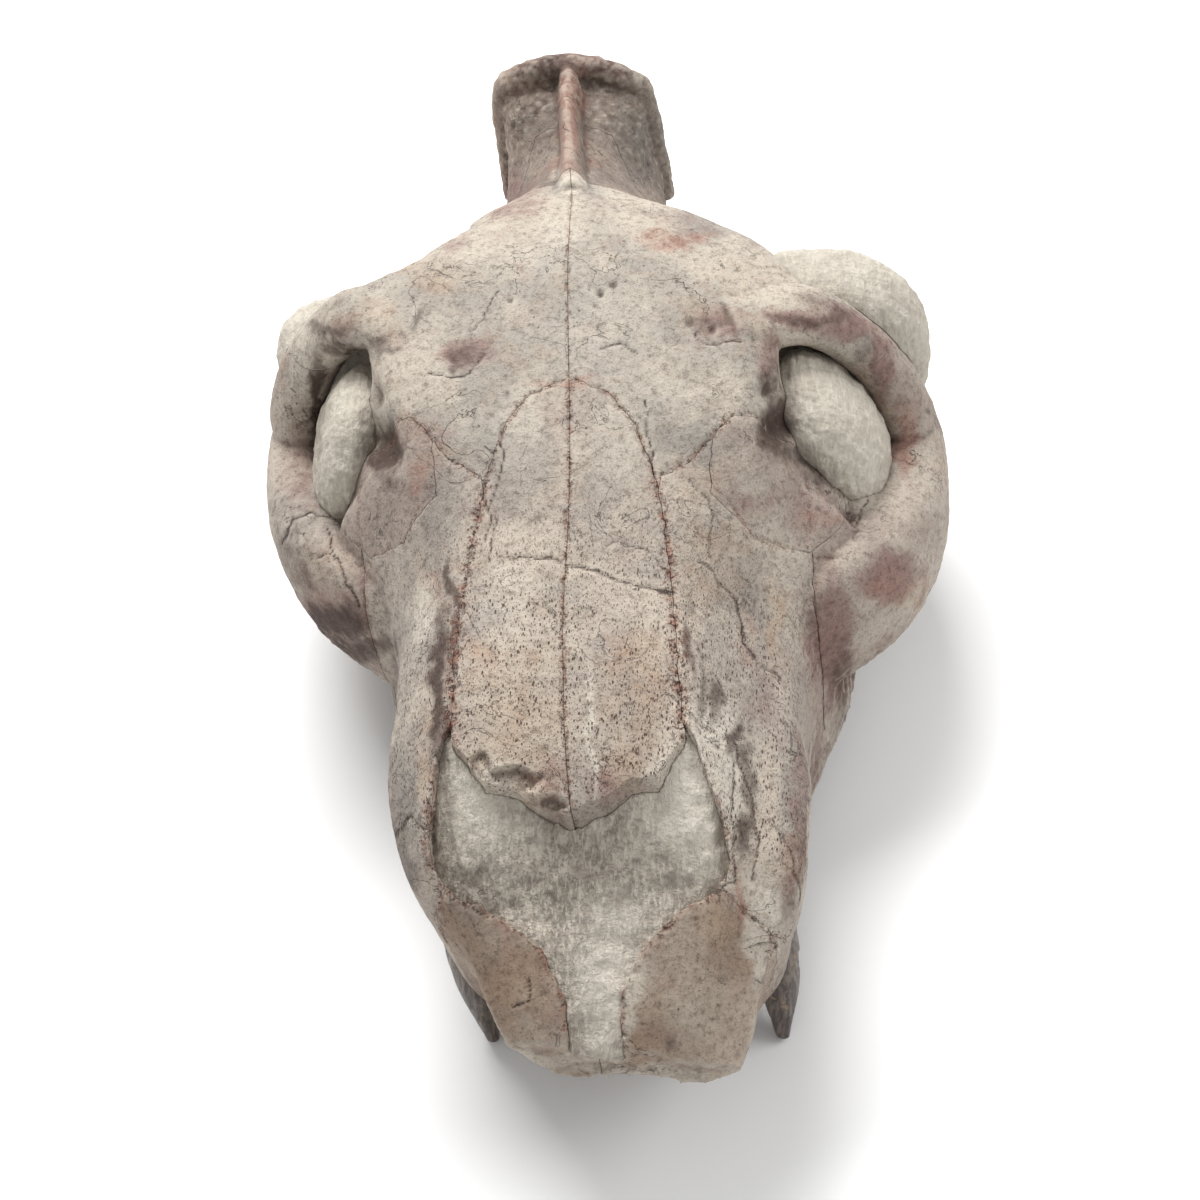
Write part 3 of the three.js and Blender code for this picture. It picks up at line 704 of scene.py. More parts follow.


# %% [markdown]
# Marks are named for what they are and hold pixels of the photograph: a centre, two radii and a
# strength for a patch of colour, a run of points for a crack. Each becomes a number at every
# vertex that faces the camera there, and the materials read those numbers.

# %% Patches and cracks
# Some patches are painted light and shade: the dark ovals in the hollows at the inner front of the
# eye sockets and across the rock under the broken tips of the nasals are painted shade, the grey
# and dark bands down both sides of the muzzle are painted shade, and the strongest pale ovals on
# the rock in the nose are painted light where that rock is lit.
PATCHES = {
    "salmon": [(572, 118, 13, 54, 1.0), (572, 172, 24, 14, 0.6), (672, 240, 44, 14, 0.55),
        (482, 670, 34, 50, 0.2), (645, 675, 36, 50, 0.2), (895, 585, 40, 18, 0.4),
        (905, 440, 12, 40, 0.6), (820, 520, 30, 12, 0.5), (790, 870, 12, 40, 0.4),
        (520, 780, 16, 10, 0.4), (745, 900, 5, 30, 0.8), (505, 950, 10, 30, 0.4),
        (430, 590, 18, 26, 0.3), (560, 385, 70, 4, 0.5), (742, 640, 12, 30, 0.4),
        (420, 470, 10, 30, 0.4)],
    "warm": [(672, 238, 46, 15, 0.3), (515, 735, 66, 110, 0.42), (640, 740, 58, 110, 0.45),
        (798, 858, 14, 30, 0.5), (440, 275, 38, 22, 0.45), (375, 318, 40, 22, 0.4),
        (705, 560, 45, 60, 0.35), (430, 760, 14, 60, 0.4), (722, 920, 22, 24, 0.6),
        (520, 985, 34, 45, 0.55), (690, 985, 30, 30, 0.4), (420, 590, 20, 60, 0.25),
        (330, 560, 40, 30, 0.3), (480, 760, 14, 20, 0.6), (645, 660, 30, 26, 0.5),
        (480, 655, 16, 16, 0.5), (700, 490, 30, 24, 0.4), (775, 620, 12, 50, 0.5),
        (905, 595, 40, 16, 0.5)],
    "rose": [(808, 790, 20, 120, 0.55), (385, 830, 18, 100, 0.4), (590, 60, 90, 14, 0.75),
        (465, 355, 28, 16, 0.7), (720, 325, 32, 22, 0.6), (500, 195, 44, 26, 0.7),
        (445, 235, 24, 18, 0.6), (890, 578, 34, 24, 0.9), (820, 510, 50, 26, 0.45),
        (330, 615, 45, 34, 0.7), (530, 190, 20, 16, 0.5), (300, 470, 22, 45, 0.5),
        (700, 215, 35, 25, 0.35), (432, 440, 22, 34, 0.45), (800, 320, 46, 14, 0.75),
        (345, 330, 30, 20, 0.4), (905, 440, 16, 36, 0.6), (832, 650, 26, 60, 0.85),
        (600, 330, 14, 14, 0.3), (850, 330, 40, 14, 0.85), (750, 510, 22, 14, 0.5),
        (885, 370, 12, 40, 0.9), (840, 318, 44, 10, 0.7), (770, 360, 14, 30, 0.6),
        (555, 770, 30, 26, 0.45), (600, 785, 26, 20, 0.6), (760, 700, 40, 60, 0.3),
        (440, 240, 30, 20, 0.4)],
    "dark": [(800, 900, 20, 60, 0.4), (400, 900, 24, 50, 0.4), (290, 560, 26, 60, 0.25),
        (532, 112, 28, 52, 0.3), (548, 66, 30, 14, 0.6), (570, 862, 110, 26, 0.45),
        (672, 238, 50, 16, 0.2), (625, 62, 40, 12, 0.5), (540, 64, 30, 12, 0.5),
        (335, 622, 40, 20, 0.85), (386, 455, 14, 30, 1.0), (345, 350, 26, 8, 0.7),
        (405, 860, 10, 60, 0.35), (806, 850, 9, 60, 0.4), (318, 400, 8, 56, 0.9),
        (322, 330, 26, 8, 0.6), (780, 430, 22, 34, 1.0), (770, 385, 12, 20, 0.7),
        (815, 475, 20, 14, 0.6), (800, 322, 40, 8, 0.5), (786, 385, 8, 26, 0.6),
        (868, 350, 14, 24, 0.5), (838, 318, 34, 7, 0.5), (355, 648, 40, 12, 0.8),
        (300, 590, 18, 30, 0.4), (465, 358, 18, 10, 0.5), (708, 320, 22, 9, 0.5),
        (484, 905, 16, 16, 0.5), (845, 700, 18, 70, 0.5), (878, 365, 8, 30, 0.5),
        (372, 348, 26, 8, 0.5), (439, 690, 9, 80, 0.85), (452, 640, 6, 60, 0.7),
        (688, 640, 5, 60, 0.6), (712, 700, 8, 30, 0.6), (745, 830, 8, 40, 0.7),
        (470, 880, 10, 14, 0.6), (452, 590, 6, 46, 0.7), (748, 780, 9, 56, 0.6),
        (700, 690, 6, 50, 0.55), (452, 830, 5, 70, 0.6), (735, 735, 8, 20, 0.7),
        (905, 402, 10, 14, 0.3), (612, 905, 12, 6, 0.4), (810, 620, 20, 14, 0.4),
        (668, 1046, 7, 9, 0.5), (525, 960, 10, 30, 0.25)],
    "grey": [(300, 520, 40, 60, 0.5), (520, 470, 38, 60, 0.5), (610, 470, 42, 60, 0.45),
        (440, 520, 28, 70, 0.5), (640, 150, 30, 50, 0.6), (705, 225, 32, 30, 0.6),
        (745, 690, 36, 90, 0.5), (700, 440, 40, 26, 0.7), (745, 610, 40, 60, 0.4),
        (600, 210, 28, 34, 0.4), (410, 620, 26, 60, 0.5), (560, 600, 40, 30, 0.4),
        (400, 810, 26, 90, 0.8), (800, 800, 22, 90, 0.8), (470, 900, 30, 30, 0.4),
        (620, 350, 40, 14, 0.3), (720, 800, 30, 60, 0.5), (400, 700, 20, 40, 0.4)],
    "pale": [(571, 180, 18, 12, 0.9), (702, 780, 50, 90, 1.0), (620, 930, 30, 40, 0.5),
        (610, 985, 34, 60, 0.8), (485, 800, 34, 50, 0.7), (600, 330, 70, 60, 0.4),
        (650, 390, 60, 30, 0.4), (540, 440, 50, 20, 0.3), (418, 610, 14, 40, 0.7),
        (790, 560, 30, 40, 0.4), (930, 520, 14, 60, 0.3), (560, 250, 40, 40, 0.4),
        (670, 500, 22, 40, 0.3), (762, 930, 14, 56, 1.0), (640, 1072, 90, 10, 0.8),
        (400, 560, 20, 40, 0.3), (626, 1000, 10, 50, 1.0), (590, 740, 5, 70, 0.9),
        (700, 740, 14, 40, 0.7), (470, 800, 20, 30, 0.5), (600, 1040, 20, 30, 0.6),
        (300, 360, 14, 50, 0.7), (520, 430, 30, 50, 0.55), (615, 440, 34, 50, 0.5),
        (510, 600, 30, 60, 0.45), (690, 1000, 34, 50, 0.4), (560, 1058, 80, 8, 0.7),
        (860, 500, 30, 16, 0.6)],
}
CRACKS = [
    (1.6, [(500, 558), (530, 556), (562, 562)]),
    (1.9, [(566, 564), (590, 568), (620, 580), (645, 588), (674, 592)]),
    (1.1, [(608, 548), (620, 541), (646, 552), (672, 572)]),
    (1.6, [(735, 740), (742, 770), (755, 800), (760, 850), (752, 880)]),
    (1.3, [(502, 430), (502, 470), (490, 510), (484, 540)]),
    (1.2, [(484, 500), (494, 520), (488, 560)]),
    (1.2, [(690, 330), (705, 345), (740, 343)]),
    (1.2, [(600, 348), (620, 345), (640, 352)]),
    (1.4, [(426, 372), (450, 378), (470, 374), (486, 352)]),
    (1.1, [(472, 330), (486, 312), (500, 292)]),
    (1.4, [(282, 545), (292, 520), (312, 510), (335, 520)]),
    (1.6, [(325, 530), (340, 560), (352, 590), (358, 606)]),
    (1.1, [(318, 556), (330, 552), (338, 560)]),
    (1.2, [(852, 540), (862, 510), (868, 495)]),
    (1.2, [(690, 480), (712, 500), (712, 560)]),
    (1.2, [(700, 560), (716, 575), (735, 600), (745, 640)]),
    (1.4, [(800, 900), (790, 850), (770, 820)]),
    (1.5, [(737, 600), (742, 640), (760, 662), (782, 680)]),
    (1.2, [(385, 870), (398, 830), (410, 815), (424, 830)]),
    (1.6, [(520, 925), (550, 950), (570, 985), (580, 1030)]),
    (1.2, [(645, 400), (650, 440), (656, 480)]),
    (1.4, [(443, 800), (448, 860), (462, 895), (484, 915)]),
    (1.4, [(735, 760), (733, 830), (736, 882), (700, 892), (680, 905)]),
    (1.1, [(512, 1010), (528, 1000), (530, 975)]),
]
# Pits are (pixel x, pixel y, radius, depth), chips have two radii; depths are in millimetres.
PITS = [(372, 435, 22, 3.2), (366, 395, 14, 2.2), (388, 458, 12, 1.6), (782, 424, 17, 2.6),
    (806, 458, 15, 1.8), (768, 392, 9, 1.2), (600, 293, 3.5, 1.1), (613, 284, 3.0, 1.0),
    (510, 300, 2.6, 0.7), (595, 306, 2.2, 0.5), (935, 410, 6.0, 1.5), (690, 322, 5.0, 0.8),
    (712, 330, 4.0, 0.8), (630, 884, 2.5, 0.6), (452, 372, 4.0, 0.6)]
CHIPS = [(515, 782, 34, 15, 1.5), (545, 806, 22, 12, 1.5), (604, 812, 30, 10, 1.4),
    (640, 806, 20, 9, 1.2), (480, 765, 12, 14, 0.9)]


def patch_strength(pixels, patches):
    """The strongest of several soft ovals, each falling as a bell with distance."""
    out = np.zeros(len(pixels))
    for px, py, rx, ry, strength in patches:
        d = ((pixels[:, 0] - px) / rx) ** 2 + ((pixels[:, 1] - py) / ry) ** 2
        out = np.maximum(out, strength * np.exp(-0.8 * d ** 1.4))
    return out


def line_distance(p, line):
    """The least distance from each point to a run of straight stretches."""
    out = np.full(len(p), 1e9)
    line = np.asarray(line, float)
    for a, b in zip(line[:-1], line[1:]):
        step = b - a
        t = np.clip((p - a) @ step / (step @ step), 0, 1)
        out = np.minimum(out, np.hypot(*(p - a - t[:, None] * step).T))
    return out


def crack_depth(pixels, points):
    """A narrow bell across each crack, its course shaken by noise in the bone."""
    shaken = pixels + 5.0 * np.stack([noise(points, 3.0, 2, 4.0), noise(points, 3.0, 2, 6.0)], 1)
    out = np.zeros(len(pixels))
    for width, line in CRACKS:
        low, high = np.min(line, 0) - 12, np.max(line, 0) + 12
        near = np.flatnonzero(np.all((shaken > low) & (shaken < high), axis=1))
        d = line_distance(shaken[near], line)
        out[near] = np.maximum(out[near], np.exp(-(d / width) ** 2))
    return out


# Stretches of suture that show on top, as strength, width and points [x, s] of the left side.
SUTURES = [
    (1.0, 1.05, [[19, 38], [19, 41], [18.3, 60]]),
    (1.0, 0.75, [[18.3, 60], [16.9, 76], [14.8, 88]]),
    (0.6, 0.4, [[14.8, 88], [11.5, 98], [7.5, 104], [0, 107.5]]),
    (0.55, 0.45, [[14, 87], [15.5, 89], [21, 93], [28, 102], [34, 104]]),
    (0.3, 0.5, [[24, 90], [31, 85], [39, 88], [48, 91]]),
    (0.3, 0.5, [[40.5, 72], [40.5, 88], [40.5, 100]]),
    (0.9, 0.7, [[19, 40], [21.5, 37], [24, 31], [24, 25], [21, 20.5], [14, 17], [8, 13], [4.5, 7],
                [4.2, 0]]),
    (0.7, 0.6, [[21, 22], [27, 19.5], [36, 15]]),
]
MIDDLE_SUTURES = [(0.8, 0.42, [[0, 30], [0, 50], [0, 75], [0, 107]]),
    (0.5, 0.3, [[0, 107], [0, 130], [0, 160]])]


def suture_lines():
    """Every stretch on both sides, following the wandering midline."""
    out = []
    for side in (1, -1):
        for strength, width, line in SUTURES + (MIDDLE_SUTURES if side > 0 else []):
            corners = np.array(line, float)
            steps = [a + (b - a) * np.linspace(0, 1, 12, endpoint=False)[:, None]
                     for a, b in zip(corners[:-1], corners[1:])]
            p = np.vstack(steps + [corners[-1:]])
            x = p[:, 0] * side + AT["roof_sway"](p[:, 1])
            out.append((strength, width, np.column_stack([x, p[:, 1]])))
    return out


def suture_nearness(points, normal, reach=1.0):
    """A bell across the sutures on the upper side of the skull, in the plan of x and s."""
    out = np.zeros(len(points))
    above = (points[:, 2] > 16) & (normal[:, 2] > -0.1)
    shake = np.stack([noise(points, 1.7, 2, 51), noise(points, 1.7, 2, 53)], 1)
    shaken = points[:, :2] + 0.55 * shake
    for strength, width, line in suture_lines():
        inside = (points[:, :2] > line.min(0) - 3) & (points[:, :2] < line.max(0) + 3)
        near = np.flatnonzero(above & inside.all(axis=1))
        if len(near):
            d = line_distance(shaken[near], line)
            out[near] = np.maximum(out[near], strength * np.exp(-(d / (width * reach)) ** 2))
    return out


# %% [markdown]
# The bone's surface is pushed in and out along its normals: broad swells, finer knocks, grooves
# beside the sutures and at the cracks, small holes for blood vessels, and chips out of the
# broken front of the nasal bones.

# %% Relief of the bone
def band(value, low, high):
    """0 below low, 1 above high, smooth between."""
    t = np.clip((value - low) / (high - low), 0, 1)
    return t * t * (3 - 2 * t)


def rough_zones(points):
    """Where the bone is coarse: the lower edge of the cheek, the back of the head, the rims."""
    x, s, z = np.abs(points[:, 0]), points[:, 1], points[:, 2]
    cheek = band(x, 38, 46) * band(22 - z, 0, 8) * band(s, 70, 84) * band(150 - s, 0, 20)
    back = band(s, 186, 198)
    return np.clip(cheek + back, 0, 1)


def relief(points, normal):
    """The push along the normal at each vertex, in millimetres: a sum of noises, less the
    sutures, cracks, pits and chips."""
    pixels = photo_place(points)
    view = band(facing(points, normal), 0.05, 0.3)
    rough = rough_zones(points)
    d = 0.42 * noise(points, 15, 3, 1) + 0.13 * noise(points, 3.5, 3, 2)
    d += (0.09 + 0.3 * rough) * noise(points, 1.5, 2, 3)
    grain = np.column_stack([points[:, 0], points[:, 1] * 0.25, points[:, 2]])
    d += 0.1 * noise(grain, 1.3, 2, 5)
    seam = suture_nearness(points, normal)
    d -= seam * (0.3 + 0.5 * noise(points, 1.4, 2, 8))
    d -= 0.3 * crack_depth(pixels, points) * view
    for px, py, radius, depth in PITS:
        r2 = ((pixels[:, 0] - px) ** 2 + (pixels[:, 1] - py) ** 2) / radius ** 2
        d -= depth * np.exp(-r2) * view
    on_nasal = (np.abs(points[:, 0]) < 21) & (points[:, 2] > 32) & (points[:, 1] < 60)
    for px, py, rx, ry, depth in CHIPS:
        r2 = ((pixels[:, 0] - px) / rx) ** 2 + ((pixels[:, 1] - py) / ry) ** 2
        d -= depth * band(1.1 - r2 + 0.9 * noise(points, 3.0, 3, 12), 0.0, 0.9) * view * on_nasal
    return d


def depth_below(mesh):
    """How far each vertex lies below the surface smoothed round it, along the normal."""
    p = coordinates(mesh)
    flat = smoothed(p, edge_pairs(mesh), 7, 0.6)
    return np.einsum("ij,ij->i", flat - p, normals(mesh))


def place_key(points):
    """One whole number for a vertex's place, in steps of a hundredth of a millimetre."""
    q = np.round(points * 100).astype(np.int64) + 20000
    return (q[:, 0] * 60000 + q[:, 1]) * 60000 + q[:, 2]


normal = normals(bone.data)
plain = coordinates(bone.data)
pushed(bone, plain, relief(plain, normal))
whole_key = place_key(coordinates(bone.data))
whole_order = np.argsort(whole_key)
whole_key = whole_key[whole_order]
whole_depth = depth_below(bone.data)[whole_order]


def carried_depth(points):
    """The whole bone's depths for the vertices that a piece kept from it, and zero on cuts."""
    key = place_key(points)
    i = np.clip(np.searchsorted(whole_key, key), 0, len(whole_key) - 1)
    return np.where(whole_key[i] == key, whole_depth[i], 0.0)


print("relief", round(time.time() - START, 1), "s")

# %% [markdown]
# The pieces are taken off one by one, as a preparator would part the skull at its sutures. Each
# cut keeps what lies inside a bone's outline, and the rest loses a hair's breadth more, so that
# the pieces touch nowhere and a fine dark line shows between them.

# %% Part the skull into its bones
SIDES = {"left": 1, "right": -1}
pieces = {}


def take(node, outline, side, **span):
    """Keeps what lies inside an outline as the node's piece, and cuts it off the bone."""
    cutter = block(outline, side, **span)
    piece = copy_of(bone, node)
    combined(piece, cutter, "INTERSECT")
    removed(cutter)
    cutter = block(outline, side, grow=SUTURE_GAP, **span)
    combined(bone, cutter, "DIFFERENCE")
    removed(cutter)
    pieces[node] = largest_body(piece)


inflated = copy_of(bone, "inflated")
set_coordinates(inflated.data, coordinates(bone.data) + normals(bone.data) * SUTURE_GAP)


def canine_grid(side, grow=0.0, along=110, around=64):
    """A curved spike with a flattened section, made larger all round by grow."""
    return swept_grid(CANINE_ROWS, side, along, around, grow=grow)


sockets = joined("sockets", [canine_grid(1, 0.2, 40, 32), canine_grid(-1, 0.2, 40, 32)])
combined(bone, sockets, "DIFFERENCE")
for name, side in SIDES.items():
    take("nasal_" + name, NASAL, side, **NASAL_RANGE)
    take("frontal_" + name, FRONTAL, side, **FRONTAL_RANGE)
print("nasals and frontals", round(time.time() - START, 1), "s")

# %% [markdown]
# The rock in the nose fills the space under the broken nasal bones. It is the same snout shape,
# let down a little, trimmed to the opening and roughened by the tools that cleaned it.

# %% Rock in the nose
ROCK_STEP = 0.45
rock_stations = np.arange(0, 58, ROCK_STEP)
rock_points, rock_faces = grid_faces(cranium_grid(rock_stations, 380, AT["rock_drop"]))
nasal_rock = mesh_object("nasal_rock", rock_points, rock_faces)


def rock_relief(points, strength=1.0):
    """Lumps, broken flakes and fine grain, and shallow grooves that run along the skull."""
    flakes = np.abs(noise(points, 5.5, 2, 21))
    steps = np.abs(noise(points, 2.4, 2, 26))
    groove = np.column_stack([points[:, 0], points[:, 1] * 0.12, points[:, 2] * 0.3])
    return strength * (0.7 * noise(points, 9, 3, 20) - 0.9 * flakes - 0.35 * steps
                       + 0.2 * noise(points, 1.2, 2, 22) + 0.35 * noise(groove, 1.1, 2, 23) + 0.35)


pushed(nasal_rock, rock_points, rock_relief(rock_points) * band(rock_points[:, 2], 8, 12))
OPENING_FOOT = 12.0
for side in (1, -1):
    cutter = block(NOSE_OPENING, side, low=OPENING_FOOT, grow=SUTURE_GAP)
    combined(bone, cutter, "DIFFERENCE")
    removed(cutter)
opening = block(NOSE_OPENING, 1, low=OPENING_FOOT)
other = block(NOSE_OPENING, -1, low=OPENING_FOOT)
combined(opening, other, "UNION")
removed(other)
combined(nasal_rock, opening, "INTERSECT")
removed(opening)
for side in (1, -1):
    cutter = block(NASAL, side, grow=SUTURE_GAP, **NASAL_RANGE)
    combined(nasal_rock, cutter, "DIFFERENCE")
    removed(cutter)
# A thin blade under the middle suture takes away the rock that would show through it.
blade = mesh_object("cutter", *grid_faces(ball_grid([0, 80, 60], [1, 50.8, 25], 0, 1, 40, 30)))
combined(nasal_rock, blade, "DIFFERENCE")
removed(blade)
combined(nasal_rock, sockets, "DIFFERENCE")
removed(sockets)
pieces["nasal_rock"] = largest_body(nasal_rock)

# %% The other bones
for name, side in SIDES.items():
    take("premaxilla_" + name, PREMAXILLA, side)
    take("lacrimal_" + name, LACRIMAL, side, low=LACRIMAL_FOOT)
    take("jugal_" + name, JUGAL, side, low=JUGAL_FOOT)
    take("maxilla_" + name, MAXILLA, side)
    take("squamosal_" + name, SQUAMOSAL, side)
take("occipital", OCCIPITAL, 1)
pieces["braincase"] = largest_body(bone)
print("bones parted", round(time.time() - START, 1), "s")

# %% [markdown]
# Rock still fills the eye sockets and the front of the temple openings. Each mass is a rounded
# lump pressed into its hollow: the lump less the bone round it. Its face is uneven and dull.

# %% Rock in the eye sockets and behind them
for name, side in SIDES.items():
    fine = ((240, 170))
    behind = TEMPORAL_ROCK[name]
    lumps = (("temporal_rock_", behind, 0.85), ("orbit_rock_", ORBIT_ROCK[name], 1.0))
    for node, (centre, radii, angle), power in lumps:
        points, faces = grid_faces(ball_grid(centre, radii, angle, side, *fine, power=power))
        lump = mesh_object(node + name, points, faces)
        pushed(lump, points, rock_relief(points, 0.8) - 0.3)
        combined(lump, inflated, "DIFFERENCE")
        if node == "orbit_rock_":
            points, faces = grid_faces(ball_grid(*behind[:2], behind[2], side, 120, 90, power=0.85))
            rest = mesh_object("cutter", points, faces)
            pushed(rest, points, rock_relief(points, 0.8) - 0.3 + SUTURE_GAP)
            combined(lump, rest, "DIFFERENCE")
            removed(rest)
        pieces[node + name] = largest_body(lump)
removed(inflated)
print("rock", round(time.time() - START, 1), "s")

# %% [markdown]
# The canines stand in their own sockets: short, dark blades with fine lengthwise ridges and
# chips along their edges.

# %% Canines
for name, side in SIDES.items():
    points, faces = grid_faces(canine_grid(side))
    canine = mesh_object("canine_" + name, points, faces)
    flute = np.column_stack([points[:, 0], points[:, 1], points[:, 2] * 0.08])
    wave = 0.16 * noise(flute, 1.3, 2, 31) - 0.25 * band(noise(points, 3.0, 2, 32), 0.25, 0.45)
    fade = band(points[:, 2], -14.5, -12.5)
    pushed(canine, points, wave * fade)
    pieces["canine_" + name] = canine

# %% [markdown]
# Colour marks become numbers on each vertex: one attribute for every kind of patch, one for the
# reddish filling of the sutures and one for cracks. Far from the photograph's view the marks
# fade, and the noise in the materials carries on alone.

# %% Write the marks on the pieces
def attribute(mesh, name, values):
    made = mesh.attributes.new(name, "FLOAT", "POINT")
    made.data.foreach_set("value", np.ascontiguousarray(values, np.float32))


def mark(obj):
    """Writes every mark on a piece as an attribute and moves the piece into the frame."""
    mesh = obj.data
    p, n = coordinates(mesh), normals(mesh)
    pixels = photo_place(p)
    shaken = pixels + 15.0 * np.stack([noise(p, 4.5, 4, 41), noise(p, 4.5, 4, 43)], 1)
    seen = band(facing(p, n), 0.0, 0.2)
    x, s, z = np.abs(p[:, 0]), p[:, 1], p[:, 2]
    marks = {name: patch_strength(shaken, patches) * seen for name, patches in PATCHES.items()}
    # The dark mark takes painted shade on the lower parts of the skull and round the front and back
    # edges of the eye sockets; the back of the head is darkened too, most where it turns from the
    # view.
    under = band(18 - z, 0, 14)
    behind = band(s, 150, 190)
    rim = np.exp(-((x - 38) / 7) ** 2 - ((s - 104) / 5) ** 2)
    rim = rim + np.exp(-((s - 131) / 5) ** 2) * band(x, 38, 44)
    for shade in (0.35 * behind * (1 - seen * 0.6), 0.25 * under, 0.3 * rim):
        marks["dark"] = np.maximum(marks["dark"], shade)
    marks["seam"] = suture_nearness(p, n, 1.25)
    marks["crack"] = crack_depth(pixels, p) * seen
    lengthwise = band(s, 22, 30) * band(98 - s, 0, 40) * band(z, 14, 26)
    marks["pores"] = lengthwise * band(n[:, 2] + 0.5 * np.abs(n[:, 0]), 0.2, 0.6)
    marks["crown"] = band(-z, -0.5, 1.2) * band(s, 36, 40) * band(128 - s, 0, 3)
    # Vertices below the smoothed surface get painted shade in the hollows, and those above it a
    # painted highlight on raised edges.
    depth = carried_depth(p)
    marks["hollow"], marks["ridge"] = band(depth, 0.0, 0.15), band(-depth, 0.02, 0.16)
    for name, values in marks.items():
        attribute(mesh, name, values)
    set_coordinates(mesh, to_frame(p))
    mesh.shade_smooth()


for obj in pieces.values():
    mark(obj)
triangles = sum(len(o.data.loops) - 2 * len(o.data.polygons) for o in pieces.values())
print("marked", len(pieces), "pieces,", triangles, "triangles", round(time.time() - START, 1), "s")

# %% [markdown]
# Every finish is built of shader nodes that read the bone's own coordinates. A few short helpers
# add a node and give back its output, so that a finish reads as a recipe: a base colour, then one
# mark after another laid over it, then the bump.

# %% Helpers for finishes
def finish_tree(name, roughness):
    material = bpy.data.materials.new(name)
    material.use_nodes = True
    tree = material.node_tree
    shader = tree.nodes["Principled BSDF"]
    shader.inputs["Roughness"].default_value = roughness
    shader.inputs["Specular IOR Level"].default_value = 0.3
    return material, tree, shader


def feed(tree, socket, value):
    """Sets a socket to a number or colour, or links it to an output."""
    if isinstance(value, bpy.types.NodeSocket):
        tree.links.new(value, socket)
    else:
        socket.default_value = value


def place(tree, scale=(1, 1, 1)):
    """Object coordinates in millimetres, stretched by scale."""
    coords = tree.nodes.new("ShaderNodeTexCoord")
    mapping = tree.nodes.new("ShaderNodeMapping")
    mapping.inputs["Scale"].default_value = [v / MM for v in scale]
    tree.links.new(coords.outputs["Object"], mapping.inputs["Vector"])
    return mapping.outputs["Vector"]


def cloud(tree, vector, size, detail=4.0, roughness=0.6, distortion=0.0):
    """Fractal noise whose lumps are size millimetres across."""
    node = tree.nodes.new("ShaderNodeTexNoise")
    tree.links.new(vector, node.inputs["Vector"])
    node.inputs["Scale"].default_value = 1.0 / size
    node.inputs["Detail"].default_value = detail
    node.inputs["Roughness"].default_value = roughness
    node.inputs["Distortion"].default_value = distortion
    return node.outputs["Fac"]


def cells(tree, vector, size):
    """Distance to the nearest of many scattered points, size millimetres apart."""
    node = tree.nodes.new("ShaderNodeTexVoronoi")
    tree.links.new(vector, node.inputs["Vector"])
    node.inputs["Scale"].default_value = 1.0 / size
    return node.outputs["Distance"]


def mark_of(tree, name):
    node = tree.nodes.new("ShaderNodeAttribute")
    node.attribute_name = name
    return node.outputs["Fac"]


def maths(tree, operation, a, b=0.0):
    node = tree.nodes.new("ShaderNodeMath")
    node.operation = operation
    feed(tree, node.inputs[0], a)
    feed(tree, node.inputs[1], b)
    return node.outputs[0]


def stretch(tree, value, low, high, out_low=0.0, out_high=1.0):
    """A value from low to high carried smoothly to the range from out_low to out_high."""
    node = tree.nodes.new("ShaderNodeMapRange")
    node.interpolation_type = "SMOOTHSTEP"
    feed(tree, node.inputs["Value"], value)
    limits = {"From Min": low, "From Max": high, "To Min": out_low, "To Max": out_high}
    for socket, number in limits.items():
        node.inputs[socket].default_value = number
    return node.outputs["Result"]


# The colour sockets of a mix node, which has others of the same names for numbers and vectors.
MIX_BASE, MIX_LAYER, MIX_RESULT = 6, 7, 2


def laid_over(tree, base, colour, amount, how="MIX"):
    node = tree.nodes.new("ShaderNodeMix")
    node.data_type = "RGBA"
    node.blend_type = how
    feed(tree, node.inputs["Factor"], amount)
    feed(tree, node.inputs[MIX_BASE], base)
    feed(tree, node.inputs[MIX_LAYER], colour)
    return node.outputs[MIX_RESULT]


def veiled(tree, base, tint, where, share, how="MIX"):
    """A tint laid over the base as far as a value says, and at most by share."""
    return laid_over(tree, base, tint, maths(tree, "MULTIPLY", where, share), how)


def linear(r, g, b):
    """A colour as a screen shows it, 0 to 255, to the linear light that shaders work in."""
    c = np.array([r, g, b]) / 255
    c = np.where(c <= 0.04045, c / 12.92, ((c + 0.055) / 1.055) ** 2.4)
    return (float(c[0]), float(c[1]), float(c[2]), 1.0)


def bumped(tree, shader, height, distance, strength):
    node = tree.nodes.new("ShaderNodeBump")
    node.inputs["Strength"].default_value = strength
    node.inputs["Distance"].default_value = distance * MM
    tree.links.new(height, node.inputs["Height"])
    tree.links.new(node.outputs["Normal"], shader.inputs["Normal"])


# %% [markdown]
# Fossil bone: a cream and grey body colour in soft clouds, patches of tan, mauve, blue-grey and
# dark brown where the marks say, some of the blue-grey and dark brown being painted shade, reddish
# filling beside the sutures, black specks in the cracks, painted shade in the hollows, a painted
# highlight on raised edges, and on the snout thousands of pores drawn out along its length.

# %% Fossil bone
CREAM = linear(186, 176, 162)
GREY = linear(160, 153, 143)
TAN = linear(170, 145, 121)
MAUVE = linear(134, 104, 97)
SLATE = linear(122, 119, 114)
UMBER = linear(70, 53, 46)
BLACKISH = linear(44, 34, 31)
PORE = linear(84, 56, 46)
SALMON = linear(166, 128, 113)
RUST = linear(150, 98, 78)
CHALK = linear(206, 198, 184)
BRUISE_AND_PAINTED_LIGHT = linear(236, 228, 214)
ENAMEL = linear(62, 52, 46)
ENAMEL_STREAK = linear(112, 100, 90)
WORN_ENAMEL = linear(104, 92, 82)
DENTINE = linear(150, 128, 106)
SHADE = linear(150, 138, 132)
BONE_ROUGHNESS = 0.78


